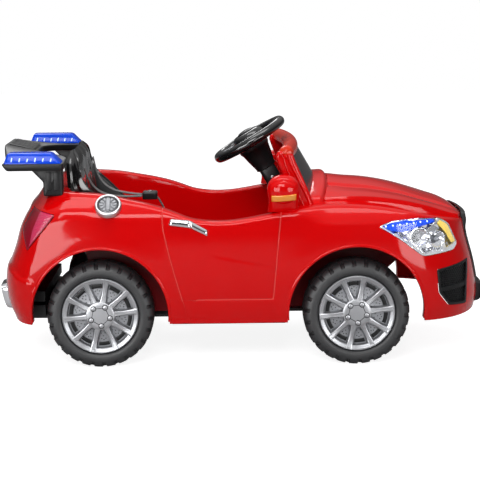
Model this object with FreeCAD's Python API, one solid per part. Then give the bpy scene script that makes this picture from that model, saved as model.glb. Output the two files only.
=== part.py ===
# Child's electric ride-on car with a light bar, drawn in millimetres.
# +X points forward, +Y to the driver's left, +Z up; the ground is Z = 0.
import FreeCAD
import Part
import math
import os

V = FreeCAD.Vector

# Overall body
LENGTH = 1080.0
BODY_WIDTH = 540.0
SILL_CLEARANCE = 97.0
DECK_HEIGHT = 374.0
WALL = 4.0
NOSE_ROUND = 185.0
TAIL_ROUND = 110.0
NOSE_POWER = 2.3
TAIL_POWER = 3.4
ROUND_STEPS = 8
OVERRUN = 40.0
SEAM = 0.4

# Wheels and axles
WHEELBASE = 545.0
REAR_OVERHANG = 230.0
TYRE_RADIUS = 113.0
TYRE_WIDTH = 80.0
WHEEL_INSET = 8.0
TREAD_WALL = 6.0
SHOULDER = 14.0
SIDEWALL = 4.0
BARREL_RADIUS = 77.0
WEB_THICKNESS = 5.0
WEB_OFFSET = 8.0
HUB_RADIUS = 16.0
HUB_REACH = 24.0
LUG_COUNT = 26
LUG_GAP = 6.0
LUG_DEPTH = 5.0
LUG_LENGTH = 16.0
AXLE_RADIUS = 6.0
RUNNING_GAP = 0.05
END_GAP = 0.5
NUT_RADIUS = 10.0
NUT_THICKNESS = 5.5
CAP_RADIUS = 81.0
CAP_PLATE = 3.0
CAP_RIM = 9.0
CAP_LIP = 4.0
CAP_FLOOR = 16.0
CAP_BOSS = 24.0
SPOKE_PAIRS = 5
SPOKE_WIDTH = 9.0
SPOKE_TIP_WIDTH = 7.5
SPOKE_SPLAY_DEG = 19.0
SPOKE_SET_DEG = 276.0
CAP_LUG_RADIUS = 4.5
CAP_LUG_CIRCLE = 18.0
CAP_LUG_RISE = 2.0
SLOT_RADIUS = 65.0
SLOT_WIDTH = 5.0
SLOT_SWEEP_DEG = 11.0

# Wheel arches
ARCH_GAP = 31.0
LIP_WIDTH = 14.0
LIP_RISE = 6.0
REAR_LINER_DEG = (-10.0, 105.0)
FRONT_LINER_DEG = (40.0, 190.0)
LINER_DEPTH = 70.0

# Cockpit, hood and windshield
COCKPIT_LIP = 28.0
FLANGE_WIDTH = 22.0
HOOD_LEDGE = 22.0
HOOD_WALL = 4.0
PILLAR_INNER = 186.0
PILLAR_OUTER = 214.0
HORN_RADIUS = 24.0
HORN_LENGTH = 44.0
RAIL_RADIUS = 7.0
GLASS_THICKNESS = 3.0
GLASS_BOW = 26.0
COWL_DEPTH = 50.0
COWL_CROWN = 44.0

# Lamps and trim
LENS_THICKNESS = 3.0
LAMP_DEPTH = 26.0
LAMP_WALL = 2.5
STRIP_HEIGHT = 8.0
STRIP_DEPTH = 5.0
GRILLE_PROUD = 4.0
GRILLE_DEPTH = 9.0
GRILLE_FRAME = 9.0
GRILLE_BARS = 7
GRILLE_BAR_HEIGHT = 7.0
GUARD_DEPTH = 15.0
INTAKE_DEPTH = 9.0
INTAKE_FRAME = 6.0
INTAKE_BAR = 9.0
TRIM_DEPTH = 4.0
SKIN_GAP = 0.3
EXHAUST_DEPTH = 18.0
EXHAUST_WIDTH = 78.0
EXHAUST_HEIGHT = 56.0
EXHAUST_RIM = 7.0
EXHAUST_SPACING = 200.0
HANDLE_RISE = 7.0
FUEL_CAP_RADIUS = 28.0
FUEL_CAP_RISE = 6.0
FUEL_CAP_TILT_DEG = 40.0
MIRROR_LENGTH = 78.0
MIRROR_WIDTH = 56.0
MIRROR_HEIGHT = 60.0
MIRROR_CENTRE_Y = 252.0
MIRROR_STEM = 15.0
INDICATOR_LENGTH = 46.0
INDICATOR_HEIGHT = 10.0
INDICATOR_RISE = 2.0

# Light bar
POD_INNER = 197.0
POD_OUTER = 246.0
POD_BASE_HEIGHT = 15.0
POD_LENS_HEIGHT = 22.0
POD_SLOPE = 9.0
POD_NOSE_SLOPE = 20.0
BAR_CENTRE_HALF = 72.0
BAR_THICKNESS = 15.0
POST_WIDTH = 30.0
POST_GUSSET = 26.0

# Seat and harness
SEAT_HALF = 138.0
SEAT_WING = 12.0
SEAT_PANEL = 6.0
SEAT_SKIRT = 6.0
SEAT_SLOT_LENGTH = 40.0
SEAT_SLOT_HEIGHT = 8.0
STRAP_WIDTH = 25.0
STRAP_THICKNESS = 2.0
BUCKLE_LENGTH = 34.0
BUCKLE_WIDTH = 40.0
BUCKLE_THICKNESS = 14.0

# Steering
STEERING_HEIGHT = 461.0
COLUMN_TILT_DEG = 31.0
STEERING_RADIUS = 79.0
STEERING_GRIP = 11.0
STEERING_HUB = 36.0
STEERING_HUB_DEPTH = 20.0
STEERING_SPOKE_WIDTH = 30.0
STEERING_SPOKE_DEPTH = 11.0
HORN_PAD_RADIUS = 20.0
HORN_PAD_DEPTH = 9.0
HORN_PAD_TRAVEL = 2.0
SHAFT_RADIUS = 6.0
COVER_TOP_RADIUS = 36.0
COVER_WAIST_RADIUS = 22.0
COVER_TUBE_RADIUS = 19.0
COVER_WALL = 4.0
COVER_CONE_LENGTH = 56.0
COVER_LENGTH = 185.0
COVER_GAP = 6.0
BUSH_LENGTH = 16.0
CRANK_RADIUS = 22.0
CRANK_WIDTH = 14.0
CRANK_THICKNESS = 8.0
CRANK_PIN_RADIUS = 4.0
CRANK_PIN_REACH = 20.0
TIE_DROP = 12.0
TIE_RISE = 13.0
TIE_RADIUS = 5.0
TIE_PLATE = 6.0
TIE_PLATE_LENGTH = 46.0
TIE_PLATE_WIDTH = 34.0
TIE_SLOT_LENGTH = 26.0
TIE_SLOT_GAP = 1.2
TIE_PIN_RADIUS = 3.0
KINGPIN_Y = 165.0
KINGPIN_RADIUS = 4.0
KNUCKLE_RADIUS = 11.0
KNUCKLE_HEIGHT = 24.0
ARM_LENGTH = 45.0
ARM_WIDTH = 15.0
ARM_THICKNESS = 6.0
ARM_SLOT_GAP = 1.2
ARM_SLOT_REACH = 3.6
EAR_THICKNESS = 5.0
EAR_REACH = 12.0
EAR_GAP = 0.4
BEAM_WIDTH = 26.0

# Floor pan, drive and battery
PAN_THICKNESS = 6.0
PAN_REAR_INSET = 70.0
PAN_FRONT_REACH = 68.0
PAN_WHEEL_GAP = 12.0
PAN_STEER_GAP = 54.0
PAN_ARCH_GAP = 8.0
RIB_HEIGHT = 10.0
RIB_WIDTH = 5.0
FRAME_BAR_HEIGHT = 22.0
FRAME_BAR_GAP = 9.0
FRAME_BAR_DEPTH = 34.0
BLOCK_LENGTH = 34.0
BLOCK_WIDTH = 18.0
BLOCK_WALL = 9.0
BLOCK_INSET = 30.0
MODULE_OUT = 1.25
MODULE_IN = 1.0
OUT_TEETH = 48
SMALL_TEETH = 12
BIG_TEETH = 45
PINION_TEETH = 10
PRESSURE_DEG = 25.0
ADDENDUM_SHARE = 0.8
DEDENDUM_SHARE = 1.05
BACKLASH = 0.25
IDLER_DEG = 15.0
MOTOR_DEG = 25.0
GEAR_FACE = 10.0
GEAR_SPACE = 3.0
GEAR_HUB = 12.0
IDLER_PIN = 3.0
MOTOR_SHAFT = 1.6
BOX_WALL = 3.0
BOX_ROOM = 3.5
BOX_WHEEL_GAP = 10.0
MOTOR_RADIUS = 18.0
MOTOR_LENGTH = 57.0
BATTERY_LENGTH = 50.0
BATTERY_WIDTH = 151.0
BATTERY_HEIGHT = 94.0
BATTERY_STEP = 6.0
BATTERY_GAP = 3.0
TERMINAL_SIZE = 8.0

# Controls
PEDAL_LENGTH = 70.0
PEDAL_WIDTH = 52.0
PEDAL_THICKNESS = 6.0
PEDAL_PITCH_DEG = 28.0
PEDAL_PIN = 4.0
PEDAL_PIN_RISE = 9.0
PEDAL_SIDE = 85.0
PEDAL_EAR = 6.0
DASH_PANEL = 10.0
LEVER_SIDE = 70.0
LEVER_RADIUS = 4.0
LEVER_REACH = 62.0
LEVER_KNOB = 10.0
LEVER_BALL = 9.0
LEVER_SLOT = 34.0
BUTTON_SIDE = 120.0
BUTTON_RADIUS = 9.0
BUTTON_DEPTH = 14.0
BUTTON_PROUD = 5.0
BUTTON_GAP = 0.4
SCREW_RADIUS = 2.5
SCREW_HEAD = 5.0
SCREW_HEAD_DEPTH = 3.0
SCREW_PER_SIDE = 3

# Body levels: height share, half-width share, nose share, tail share
BODY_LEVEL_SHARES = [
    (0.0, 0.926, 0.990, 0.969),
    (0.083, 0.956, 1.0, 0.987),
    (0.227, 0.985, 0.990, 1.0),
    (0.372, 1.0, 0.975, 0.996),
    (0.552, 1.0, 0.950, 0.964),
    (0.733, 0.989, 0.930, 0.933),
    (0.841, 0.970, 0.910, 0.900),
    (0.921, 0.919, 0.880, 0.872),
    (1.0, 0.837, 0.838, 0.843),
    (1.094, 0.726, 0.780, 0.805),
]

# Top line of the shell, tail to nose: length share, height share
TOP_LINE_SHARES = [
    (-1.05, 0.993), (-0.815, 1.0), (-0.741, 0.998), (-0.657, 0.991), (-0.552, 0.975),
    (-0.463, 0.942), (-0.391, 0.913), (-0.322, 0.877), (-0.270, 0.841), (-0.222, 0.807),
    (-0.167, 0.787), (-0.111, 0.780), (-0.057, 0.783), (0.013, 0.801), (0.085, 0.827),
    (0.157, 0.852), (0.241, 0.874), (0.333, 0.888), (0.444, 0.884), (0.556, 0.863),
    (0.667, 0.827), (0.778, 0.776), (0.870, 0.729), (0.926, 0.697), (1.05, 0.640),
]

# Hood sections: length share, crown, crease side, crease height, edge side, edge height
HOOD_SHARES = [
    (0.341, 1.018, 0.333, 0.971, 0.685, 0.921),
    (0.411, 1.011, 0.333, 0.968, 0.696, 0.928),
    (0.519, 0.996, 0.341, 0.953, 0.696, 0.921),
    (0.626, 0.960, 0.348, 0.924, 0.674, 0.888),
    (0.733, 0.899, 0.348, 0.870, 0.630, 0.834),
    (0.831, 0.816, 0.341, 0.794, 0.556, 0.769),
    (0.870, 0.776, 0.333, 0.762, 0.519, 0.747),
]

HEADLIGHT_SHARES = [
    (0.526, 0.708), (0.578, 0.762), (0.667, 0.780), (0.763, 0.773), (0.800, 0.718),
    (0.848, 0.527), (0.830, 0.480), (0.715, 0.462), (0.630, 0.599), (0.578, 0.653),
]
TAILLIGHT_SHARES = [(-0.822, 0.877), (-0.739, 0.845), (-0.850, 0.574), (-0.863, 0.747)]
INTAKE_SHARES = [
    (0.748, 0.390), (0.757, 0.206), (0.802, 0.094), (0.887, 0.076), (0.891, 0.238), (0.902, 0.419),
]
HANDLE_SHARES = [
    (-0.302, 0.755), (-0.294, 0.812), (-0.217, 0.794), (-0.144, 0.722), (-0.148, 0.668), (-0.215, 0.733),
]
PILLAR_SHARES = [
    (0.130, 1.347), (0.122, 1.260), (0.141, 1.166), (0.170, 1.040), (0.200, 0.913), (0.219, 0.800),
    (0.270, 0.800), (0.256, 0.942), (0.222, 1.076), (0.181, 1.224), (0.196, 1.347),
]
# Front face outlines: side share, height share
GRILLE_SHARES = [
    (0.400, 0.715), (0.437, 0.600), (0.330, 0.200), (-0.330, 0.200), (-0.437, 0.600), (-0.400, 0.715),
]
GUARD_SHARES = [(0.420, 0.030), (0.330, 0.170), (-0.330, 0.170), (-0.420, 0.030)]
TRIM_SHARES = [(0.690, 0.020), (0.640, 0.330), (-0.640, 0.330), (-0.690, 0.020)]
# Seat outlines: length share, height share
SEAT_FACE_SHARES = [
    (-0.265, 0.450), (-0.370, 0.425), (-0.540, 0.400), (-0.600, 0.430), (-0.622, 0.560),
    (-0.640, 0.900), (-0.655, 1.200), (-0.672, 1.330), (-0.690, 1.345),
]
SEAT_SIDE_SHARES = [
    (-0.690, 1.345), (-0.660, 1.290), (-0.635, 1.199), (-0.583, 1.126), (-0.524, 1.000), (-0.485, 0.877),
    (-0.444, 0.660), (-0.370, 0.520), (-0.280, 0.470), (-0.280, 0.410), (-0.540, 0.360), (-0.630, 0.400),
    (-0.690, 0.720), (-0.715, 1.180),
]
STRAP_SHARES = [
    (-0.642, 0.410, 1.140), (-0.560, 0.290, 0.985), (-0.470, 0.130, 0.925), (-0.423, 0.050, 0.905),
]
CROTCH_SHARES = [(-0.365, 0.880), (-0.335, 0.780), (-0.320, 0.640), (-0.322, 0.437)]
DASH_SHARES = [
    (0.165, 0.845), (0.230, 0.845), (0.268, 0.560), (0.256, 0.560), (0.215, 0.822), (0.165, 0.822),
]

# Places along the car
COCKPIT_REAR_SHARE = -0.713
COCKPIT_FRONT_SHARE = 0.170
HOOD_FRONT_SHARE = 0.815
HORN_SHARE = (0.157, 1.375)
GLASS_LOW_SHARE = (0.254, 0.890)
GLASS_TOP_SHARE = (0.187, 1.275)
GLASS_CROWN_SHARE = 0.150
COWL_REAR_SHARE = 0.245
FUEL_CAP_SHARE = (-0.533, 0.899)
MIRROR_SHARE = (0.148, 1.014)
POD_REAR_SHARE = -0.944
POD_FRONT_SHARE = -0.706
POD_FLOOR_SHARE = 1.173
BAR_REAR_SHARE = (-0.974, 1.318)
BAR_FRONT_SHARE = (-0.844, 1.256)
POST_REAR_SHARE = -0.789
POST_FRONT_SHARE = -0.713
BUCKLE_SHARE = (-0.393, 0.903)
SKIRT_SHARE = -0.275
SKIRT_REAR_SHARE = -0.385
PEDAL_SHARE = 0.135
EXHAUST_HEIGHT_SHARE = 0.130
LEVER_HEIGHT_SHARE = 0.740
BUTTON_HEIGHT_SHARE = 0.700
COCKPIT_FLOOR_SHARE = 0.5
BAY_FLOOR_SHARE = 0.6
CUT_TOP_SHARE = 1.09
LAMP_INNER_SHARE = 0.37
TAIL_INNER_SHARE = 0.5
GRILLE_ROOT_SHARE = 0.75

# Proportions of small forms
POD_TAIL_SHARE = 1.5
SEAT_SHOULDER_SHARE = 0.8
SEAT_TOP_SHARE = 0.6
HUB_SOCKET_SHARE = 1.2
TIE_EYE_SHARE = 1.4
SHOULDER_KNEE_SHARE = 0.7
SHOULDER_EDGE_SHARE = 0.15
LUG_STAGGER_SHARE = 0.25
PEDAL_RIB_SHARES = (0.3, 0.5, 0.7, 0.9)
PEDAL_HUB_SHARE = 1.6

# Values that follow from the sizes
HALF_LENGTH = LENGTH / 2
HALF_WIDTH = BODY_WIDTH / 2
RISE = DECK_HEIGHT - SILL_CLEARANCE
BODY_NOSE = HALF_LENGTH - GUARD_DEPTH
BODY_TAIL = HALF_LENGTH - EXHAUST_DEPTH
REAR_X = REAR_OVERHANG - HALF_LENGTH
FRONT_X = REAR_X + WHEELBASE
AXLE_Z = TYRE_RADIUS
ARCH_RADIUS = TYRE_RADIUS + ARCH_GAP
WHEEL_Y = HALF_WIDTH - WHEEL_INSET - TYRE_WIDTH / 2
WHEEL_IN = WHEEL_Y - TYRE_WIDTH / 2
AXLE_END = HUB_REACH + END_GAP + NUT_THICKNESS
PAN_TOP = SILL_CLEARANCE
PAN_BOTTOM = PAN_TOP - PAN_THICKNESS
TILT = math.radians(COLUMN_TILT_DEG)
UP = V(-math.sin(TILT), 0, math.cos(TILT))
TIE_X = FRONT_X - ARM_LENGTH
TIE_Z = AXLE_Z + TIE_RISE
CRANK_BACK = V(-math.cos(TILT), 0, -math.sin(TILT))
CRANK_TIP = V(TIE_X, 0, TIE_Z) + UP * TIE_DROP
SHAFT_END = CRANK_TIP - CRANK_BACK * CRANK_RADIUS
SHAFT_LENGTH = (STEERING_HEIGHT - SHAFT_END.z) / UP.z
WHEEL_CENTRE = SHAFT_END + UP * SHAFT_LENGTH


def at_x(share):
    return share * HALF_LENGTH


def at_y(share):
    return share * HALF_WIDTH


def at_z(share):
    return SILL_CLEARANCE + share * RISE


def box(x0, x1, y0, y1, z0, z1):
    return Part.makeBox(x1 - x0, y1 - y0, z1 - z0, V(x0, y0, z0))


def rod(start, end, radius):
    run = end - start
    return Part.makeCylinder(radius, run.Length, start, run)


def rod_y(x, z, radius, y0, y1):
    return rod(V(x, y0, z), V(x, y1, z), radius)


def ring_y(x, z, outer, inner, y0, y1):
    return rod_y(x, z, outer, y0, y1).cut(rod_y(x, z, inner, y0 - OVERRUN, y1 + OVERRUN))


def face_of(points):
    return Part.Face(Part.makePolygon(points + points[:1]))


def prism_y(outline, y0, y1):
    """Solid from (x, z) points drawn out from y0 to y1."""
    return face_of([V(x, y0, z) for x, z in outline]).extrude(V(0, y1 - y0, 0))


def prism_x(outline, x0, x1):
    """Solid from (y, z) points drawn out from x0 to x1."""
    return face_of([V(x0, y, z) for y, z in outline]).extrude(V(x1 - x0, 0, 0))


def prism_z(outline, z0, z1):
    """Solid from (x, y) points drawn out from z0 to z1."""
    return face_of([V(x, y, z0) for x, y in outline]).extrude(V(0, 0, z1 - z0))


def side_points(shares):
    return [(at_x(x), at_z(z)) for x, z in shares]


def front_points(shares):
    return [(at_y(y), at_z(z)) for y, z in shares]


def inset(outline, amount):
    """The same outline moved inward by an equal amount along every edge."""
    wire = Part.makePolygon([V(a, b, 0) for a, b in outline + outline[:1]])
    moved = wire.makeOffset2D(-amount, join=2)
    return [(v.Point.x, v.Point.y) for v in moved.OrderedVertexes]


def fuse(shapes):
    return shapes[0].multiFuse(shapes[1:])


def flip(shape):
    """Mirror image on the other side of the car."""
    return shape.mirror(V(0, 0, 0), V(0, 1, 0))


def both(shape):
    return [shape, flip(shape)]


def on_column(shape):
    """Carry a shape drawn about the Z axis onto the steering column, hub at the wheel centre."""
    turned = shape.copy()
    turned.rotate(V(0, 0, 0), V(0, 1, 0), -COLUMN_TILT_DEG)
    turned.translate(WHEEL_CENTRE)
    return turned


def plan_edge(level, grow, z, side):
    """Half of a plan outline: an elliptic nose, a straight flank and a squarer tail."""
    half = HALF_WIDTH * level[1] + grow
    nose = BODY_NOSE * level[2] - NOSE_ROUND
    tail = BODY_TAIL * level[3] - TAIL_ROUND
    points = []
    for step in range(ROUND_STEPS + 1):
        turn = math.pi / 2 * step / ROUND_STEPS
        reach = (NOSE_ROUND + grow) * max(math.cos(turn), 0) ** (2 / NOSE_POWER)
        points.append(V(nose + reach, side * half * math.sin(turn) ** (2 / NOSE_POWER), z))
    for step in range(ROUND_STEPS + 1):
        turn = math.pi / 2 * (1 - step / ROUND_STEPS)
        reach = (TAIL_ROUND + grow) * max(math.cos(turn), 0) ** (2 / TAIL_POWER)
        points.append(V(-tail - reach, side * half * math.sin(turn) ** (2 / TAIL_POWER), z))
    curve = Part.BSplineCurve()
    curve.interpolate(points, InitialTangent=V(0, side, 0), FinalTangent=V(0, -side, 0))
    return curve.toShape()


def plan_wire(level, grow, z):
    left = plan_edge(level, grow, z, 1)
    right = plan_edge(level, grow, z, -1)
    return Part.Wire([left, right.reversed()])


def body_loft(grow, drop):
    wires = []
    if drop:
        wires.append(plan_wire(BODY_LEVEL_SHARES[0], grow, SILL_CLEARANCE - drop))
    for level in BODY_LEVEL_SHARES:
        wires.append(plan_wire(level, grow, at_z(level[0])))
    return Part.makeLoft(wires, True)


def under_top_line(grow):
    """Everything below the top line of the shell, raised by grow."""
    points = [V(at_x(x), -BODY_WIDTH, at_z(z) + grow) for x, z in TOP_LINE_SHARES]
    curve = Part.BSplineCurve()
    curve.interpolate(points)
    low = -OVERRUN
    foot = [V(points[-1].x, -BODY_WIDTH, low), V(points[0].x, -BODY_WIDTH, low)]
    line = Part.makePolygon([points[-1]] + foot + [points[0]])
    return Part.Face(Part.Wire([curve.toShape()] + line.Edges)).extrude(V(0, BODY_WIDTH * 2, 0))


BODY_CACHE = {}


def body_at(grow):
    """The closed outer form of the body, grown or shrunk by an even amount."""
    if grow not in BODY_CACHE:
        BODY_CACHE[grow] = body_loft(grow, 0).common(under_top_line(grow))
    return BODY_CACHE[grow]


def layer(tool, outside, inside):
    """The part of a tool that lies between two grown forms of the body."""
    return tool.common(body_at(outside)).cut(body_at(inside))


def sector(x, z, start_deg, end_deg, y0, y1):
    """A wedge of a disc about an axle, for trimming a wheel-arch liner."""
    reach = ARCH_RADIUS * 2
    points = [(x, z)]
    steps = ROUND_STEPS
    for step in range(steps + 1):
        turn = math.radians(start_deg + (end_deg - start_deg) * step / steps)
        points.append((x + reach * math.cos(turn), z + reach * math.sin(turn)))
    return prism_y(points, y0, y1)


def lamp_tools(shares, amount, y0):
    outline = side_points(shares)
    if amount:
        outline = inset(outline, amount)
    return prism_y(outline, y0, BODY_WIDTH)


def make_body():
    inner = body_loft(-WALL, OVERRUN).common(under_top_line(-WALL))
    shell = body_at(0).cut(inner)
    extra = []
    for x in (REAR_X, FRONT_X):
        lip = ring_y(x, AXLE_Z, ARCH_RADIUS + LIP_WIDTH, ARCH_RADIUS, WHEEL_IN, BODY_WIDTH)
        extra += both(layer(lip, LIP_RISE, -WALL / 2))
    flange_end = ARCH_RADIUS + WALL + SEAM
    flange_x = (REAR_X + flange_end, FRONT_X - flange_end)
    base = HALF_WIDTH * BODY_LEVEL_SHARES[0][1]
    flange = box(
        flange_x[0], flange_x[1], base - FLANGE_WIDTH, base - WALL / 2, SILL_CLEARANCE,
        SILL_CLEARANCE + WALL,
    )
    extra += both(flange)
    shell = fuse([shell] + extra)
    holes = []
    for x in (REAR_X, FRONT_X):
        holes.append(rod_y(x, AXLE_Z, ARCH_RADIUS, -BODY_WIDTH, BODY_WIDTH))
    cockpit = box(
        at_x(COCKPIT_REAR_SHARE), at_x(COCKPIT_FRONT_SHARE), -BODY_WIDTH, BODY_WIDTH,
        at_z(COCKPIT_FLOOR_SHARE), at_z(CUT_TOP_SHARE),
    )
    holes.append(body_loft(-COCKPIT_LIP, 0).common(cockpit))
    hood_side = at_y(HOOD_SHARES[0][4]) - HOOD_LEDGE
    hood_nose = at_y(HOOD_SHARES[-1][4]) - HOOD_LEDGE
    bay = [
        (at_x(HOOD_SHARES[1][0]), hood_side), (at_x(HOOD_SHARES[3][0]), hood_side),
        (at_x(HOOD_FRONT_SHARE), hood_nose),
    ]
    bay = bay + [(x, -y) for x, y in reversed(bay)]
    holes.append(prism_z(bay, at_z(BAY_FLOOR_SHARE), at_z(CUT_TOP_SHARE)))
    for shares, y0 in (
        (HEADLIGHT_SHARES, at_y(LAMP_INNER_SHARE)), (TAILLIGHT_SHARES, at_y(TAIL_INNER_SHARE)),
        (INTAKE_SHARES, at_y(LAMP_INNER_SHARE)),
    ):
        holes += both(lamp_tools(shares, 0, y0))
    holes.append(prism_x(front_points(GRILLE_SHARES), at_x(GRILLE_ROOT_SHARE), LENGTH))
    for x, y in screw_places():
        holes.append(
            rod(V(x, y, PAN_BOTTOM), V(x, y, SILL_CLEARANCE + OVERRUN), SCREW_RADIUS + RUNNING_GAP),
        )
    column = Part.makeCylinder(COVER_TUBE_RADIUS + SEAM, SHAFT_LENGTH, V(0, 0, -SHAFT_LENGTH))
    holes.append(on_column(column))
    return shell.cut(holes)


def make_liners():
    """Wheel-well liners: a curved sheet round each wheel, seated inside the shell."""
    liners = []
    for x, limits in ((REAR_X, REAR_LINER_DEG), (FRONT_X, FRONT_LINER_DEG)):
        liner = ring_y(x, AXLE_Z, ARCH_RADIUS + WALL, ARCH_RADIUS, HALF_WIDTH - LINER_DEPTH, BODY_WIDTH)
        liner = liner.common(sector(x, AXLE_Z, limits[0], limits[1], 0, BODY_WIDTH * 2))
        liner = liner.common(body_at(-WALL - SEAM))
        liners += both(max(liner.Solids, key=lambda solid: solid.Volume))
    return liners


def screw_places():
    base = HALF_WIDTH * BODY_LEVEL_SHARES[0][1] - FLANGE_WIDTH / 2 - WALL / 2
    start = REAR_X + ARCH_RADIUS + OVERRUN
    end = FRONT_X - ARCH_RADIUS - OVERRUN
    places = []
    for step in range(SCREW_PER_SIDE):
        x = start + (end - start) * step / (SCREW_PER_SIDE - 1)
        places += [(x, base), (x, -base)]
    return places


def hood_section(row, sink):
    """One cross-section of the hood: crown, crease and edge, sunk by sink all round."""
    x = at_x(row[0])
    crown = V(x, 0, at_z(row[1]) - sink)
    crease = V(x, at_y(row[2]), at_z(row[3]) - sink)
    edge = V(x, at_y(row[4]) - sink, at_z(row[5]) - sink)
    foot = V(x, edge.y, at_z(row[5]) - OVERRUN)
    mirror = [V(p.x, -p.y, p.z) for p in (edge, crease)]
    curve = Part.BSplineCurve()
    curve.interpolate(mirror + [crown, crease, edge])
    sides = Part.makePolygon([edge, foot, V(x, -foot.y, foot.z), mirror[0]])
    return Part.Wire([curve.toShape()] + sides.Edges)


def make_hood():
    outside = Part.makeLoft([hood_section(row, 0) for row in HOOD_SHARES], True)
    rows = [(HOOD_SHARES[0][0] - WALL / HALF_LENGTH,) + HOOD_SHARES[0][1:]] + HOOD_SHARES[1:-1]
    last = HOOD_SHARES[-1]
    rows.append((last[0] - HOOD_WALL / HALF_LENGTH,) + last[1:])
    inside = Part.makeLoft([hood_section(row, HOOD_WALL) for row in rows], True)
    hood = outside.cut(inside).cut(body_at(0))
    return max(hood.Solids, key=lambda solid: solid.Volume)


def glass_arc(share):
    """Bowed edge of the windshield: highest and furthest forward on the centreline."""
    x, z = at_x(share[0]), at_z(share[1])
    side = (PILLAR_INNER + PILLAR_OUTER) / 2
    return x, side, z


def make_glass(grow):
    low_x, side, low_z = glass_arc(GLASS_LOW_SHARE)
    top_x, side, top_z = glass_arc(GLASS_TOP_SHARE)
    reach = side - (PILLAR_OUTER - PILLAR_INNER) / 4 + grow
    rise = GLASS_CROWN_SHARE * RISE
    low_z = low_z - grow
    top_z = top_z + grow
    low = Part.Arc(V(low_x, -reach, low_z), V(low_x + GLASS_BOW, 0, low_z + rise), V(low_x, reach, low_z))
    top = Part.Arc(V(top_x, -reach, top_z), V(top_x + GLASS_BOW, 0, top_z), V(top_x, reach, top_z))
    sheet = Part.makeRuledSurface(low.toShape(), top.toShape())
    sheet.translate(V(-grow, 0, 0))
    return sheet.extrude(V(GLASS_THICKNESS + grow * 2, 0, 0))


def make_windshield_frame():
    pillar = prism_y(side_points(PILLAR_SHARES), PILLAR_INNER, PILLAR_OUTER)
    middle = (PILLAR_INNER + PILLAR_OUTER) / 2
    horn = rod_y(
        at_x(HORN_SHARE[0]), at_z(HORN_SHARE[1]), HORN_RADIUS, middle - HORN_LENGTH / 2,
        middle + HORN_LENGTH / 2,
    )
    top_x, side, top_z = glass_arc(GLASS_TOP_SHARE)
    top_x = top_x + GLASS_THICKNESS / 2
    path = Part.Arc(V(top_x, -side, top_z), V(top_x + GLASS_BOW, 0, top_z), V(top_x, side, top_z)).toShape()
    start = path.valueAt(path.FirstParameter)
    circle = Part.Wire([Part.makeCircle(RAIL_RADIUS, start, path.tangentAt(path.FirstParameter))])
    rail = Part.Wire([path]).makePipeShell([circle], True, True)
    cowl_x = at_x(COWL_REAR_SHARE)
    foot_z = at_z(TOP_LINE_SHARES[16][1])
    outline = []
    hollow = []
    for step in range(-ROUND_STEPS, ROUND_STEPS + 1):
        share = step / ROUND_STEPS
        y = share * PILLAR_OUTER
        z = foot_z + COWL_CROWN * (1 - share * share) + WALL
        outline.append((y, z))
        hollow.append((y * (1 - WALL / PILLAR_OUTER), z - WALL))
    base_z = foot_z - OVERRUN
    outline = [(-PILLAR_OUTER, base_z)] + outline + [(PILLAR_OUTER, base_z)]
    hollow = [(hollow[0][0], base_z - OVERRUN)] + hollow + [(hollow[-1][0], base_z - OVERRUN)]
    cowl = prism_x(outline, cowl_x, cowl_x + COWL_DEPTH)
    cowl = cowl.cut(prism_x(hollow, cowl_x - OVERRUN, cowl_x + COWL_DEPTH + OVERRUN))
    frame = fuse([cowl, rail] + both(pillar) + both(horn))
    frame = frame.cut([body_at(0), make_glass(SEAM)])
    return max(frame.Solids, key=lambda solid: solid.Volume)


def make_headlight():
    """Bowl, lens and light strip of the left headlight."""
    y0 = at_y(LAMP_INNER_SHARE)
    full = lamp_tools(HEADLIGHT_SHARES, SEAM, y0)
    room = lamp_tools(HEADLIGHT_SHARES, SEAM + LAMP_WALL, y0)
    lens = layer(full, 0, -LENS_THICKNESS)
    bowl = layer(full, -LENS_THICKNESS, -LAMP_DEPTH).cut(layer(room, 0, -LAMP_DEPTH + LAMP_WALL))
    lower = room.copy()
    lower.translate(V(0, 0, -STRIP_HEIGHT))
    strip = layer(room.cut(lower), -LENS_THICKNESS - STRIP_DEPTH, -LENS_THICKNESS - STRIP_DEPTH * 2)
    strip = max(strip.Solids, key=lambda solid: solid.Volume)
    return bowl, lens, strip


def make_intake():
    """Black insert of the left bumper corner: a frame, a crossbar and a recessed back."""
    y0 = at_y(LAMP_INNER_SHARE)
    full = lamp_tools(INTAKE_SHARES, SEAM, y0)
    room = lamp_tools(INTAKE_SHARES, SEAM + INTAKE_FRAME, y0)
    frame = layer(full, TRIM_DEPTH / 2, -INTAKE_DEPTH).cut(
        layer(room, INTAKE_DEPTH, -INTAKE_DEPTH + LAMP_WALL),
    )
    middle = at_z((INTAKE_SHARES[1][1] + INTAKE_SHARES[4][1]) / 2)
    bar = box(0, HALF_LENGTH, y0, BODY_WIDTH, middle - INTAKE_BAR / 2, middle + INTAKE_BAR / 2)
    bar = layer(full.common(bar), TRIM_DEPTH / 2, -INTAKE_DEPTH)
    return fuse([frame, bar])


def make_grille():
    outline = front_points(GRILLE_SHARES)
    x0 = at_x(GRILLE_ROOT_SHARE)
    full = prism_x(inset(outline, SEAM), x0, LENGTH)
    room = prism_x(inset(outline, SEAM + GRILLE_FRAME), x0, LENGTH)
    frame = layer(full, GRILLE_PROUD, -GRILLE_DEPTH)
    frame = frame.cut(layer(room, OVERRUN / 2, -GRILLE_DEPTH + LAMP_WALL))
    top = max(z for y, z in outline) - GRILLE_FRAME
    low = min(z for y, z in outline) + GRILLE_FRAME
    bars = []
    for step in range(GRILLE_BARS):
        z = low + (top - low) * (step + 0.5) / GRILLE_BARS
        bar = box(x0, LENGTH, -HALF_WIDTH, HALF_WIDTH, z - GRILLE_BAR_HEIGHT / 2, z + GRILLE_BAR_HEIGHT / 2)
        bars.append(layer(full.common(bar), 0, -GRILLE_DEPTH))
    return fuse([frame] + bars)


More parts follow.
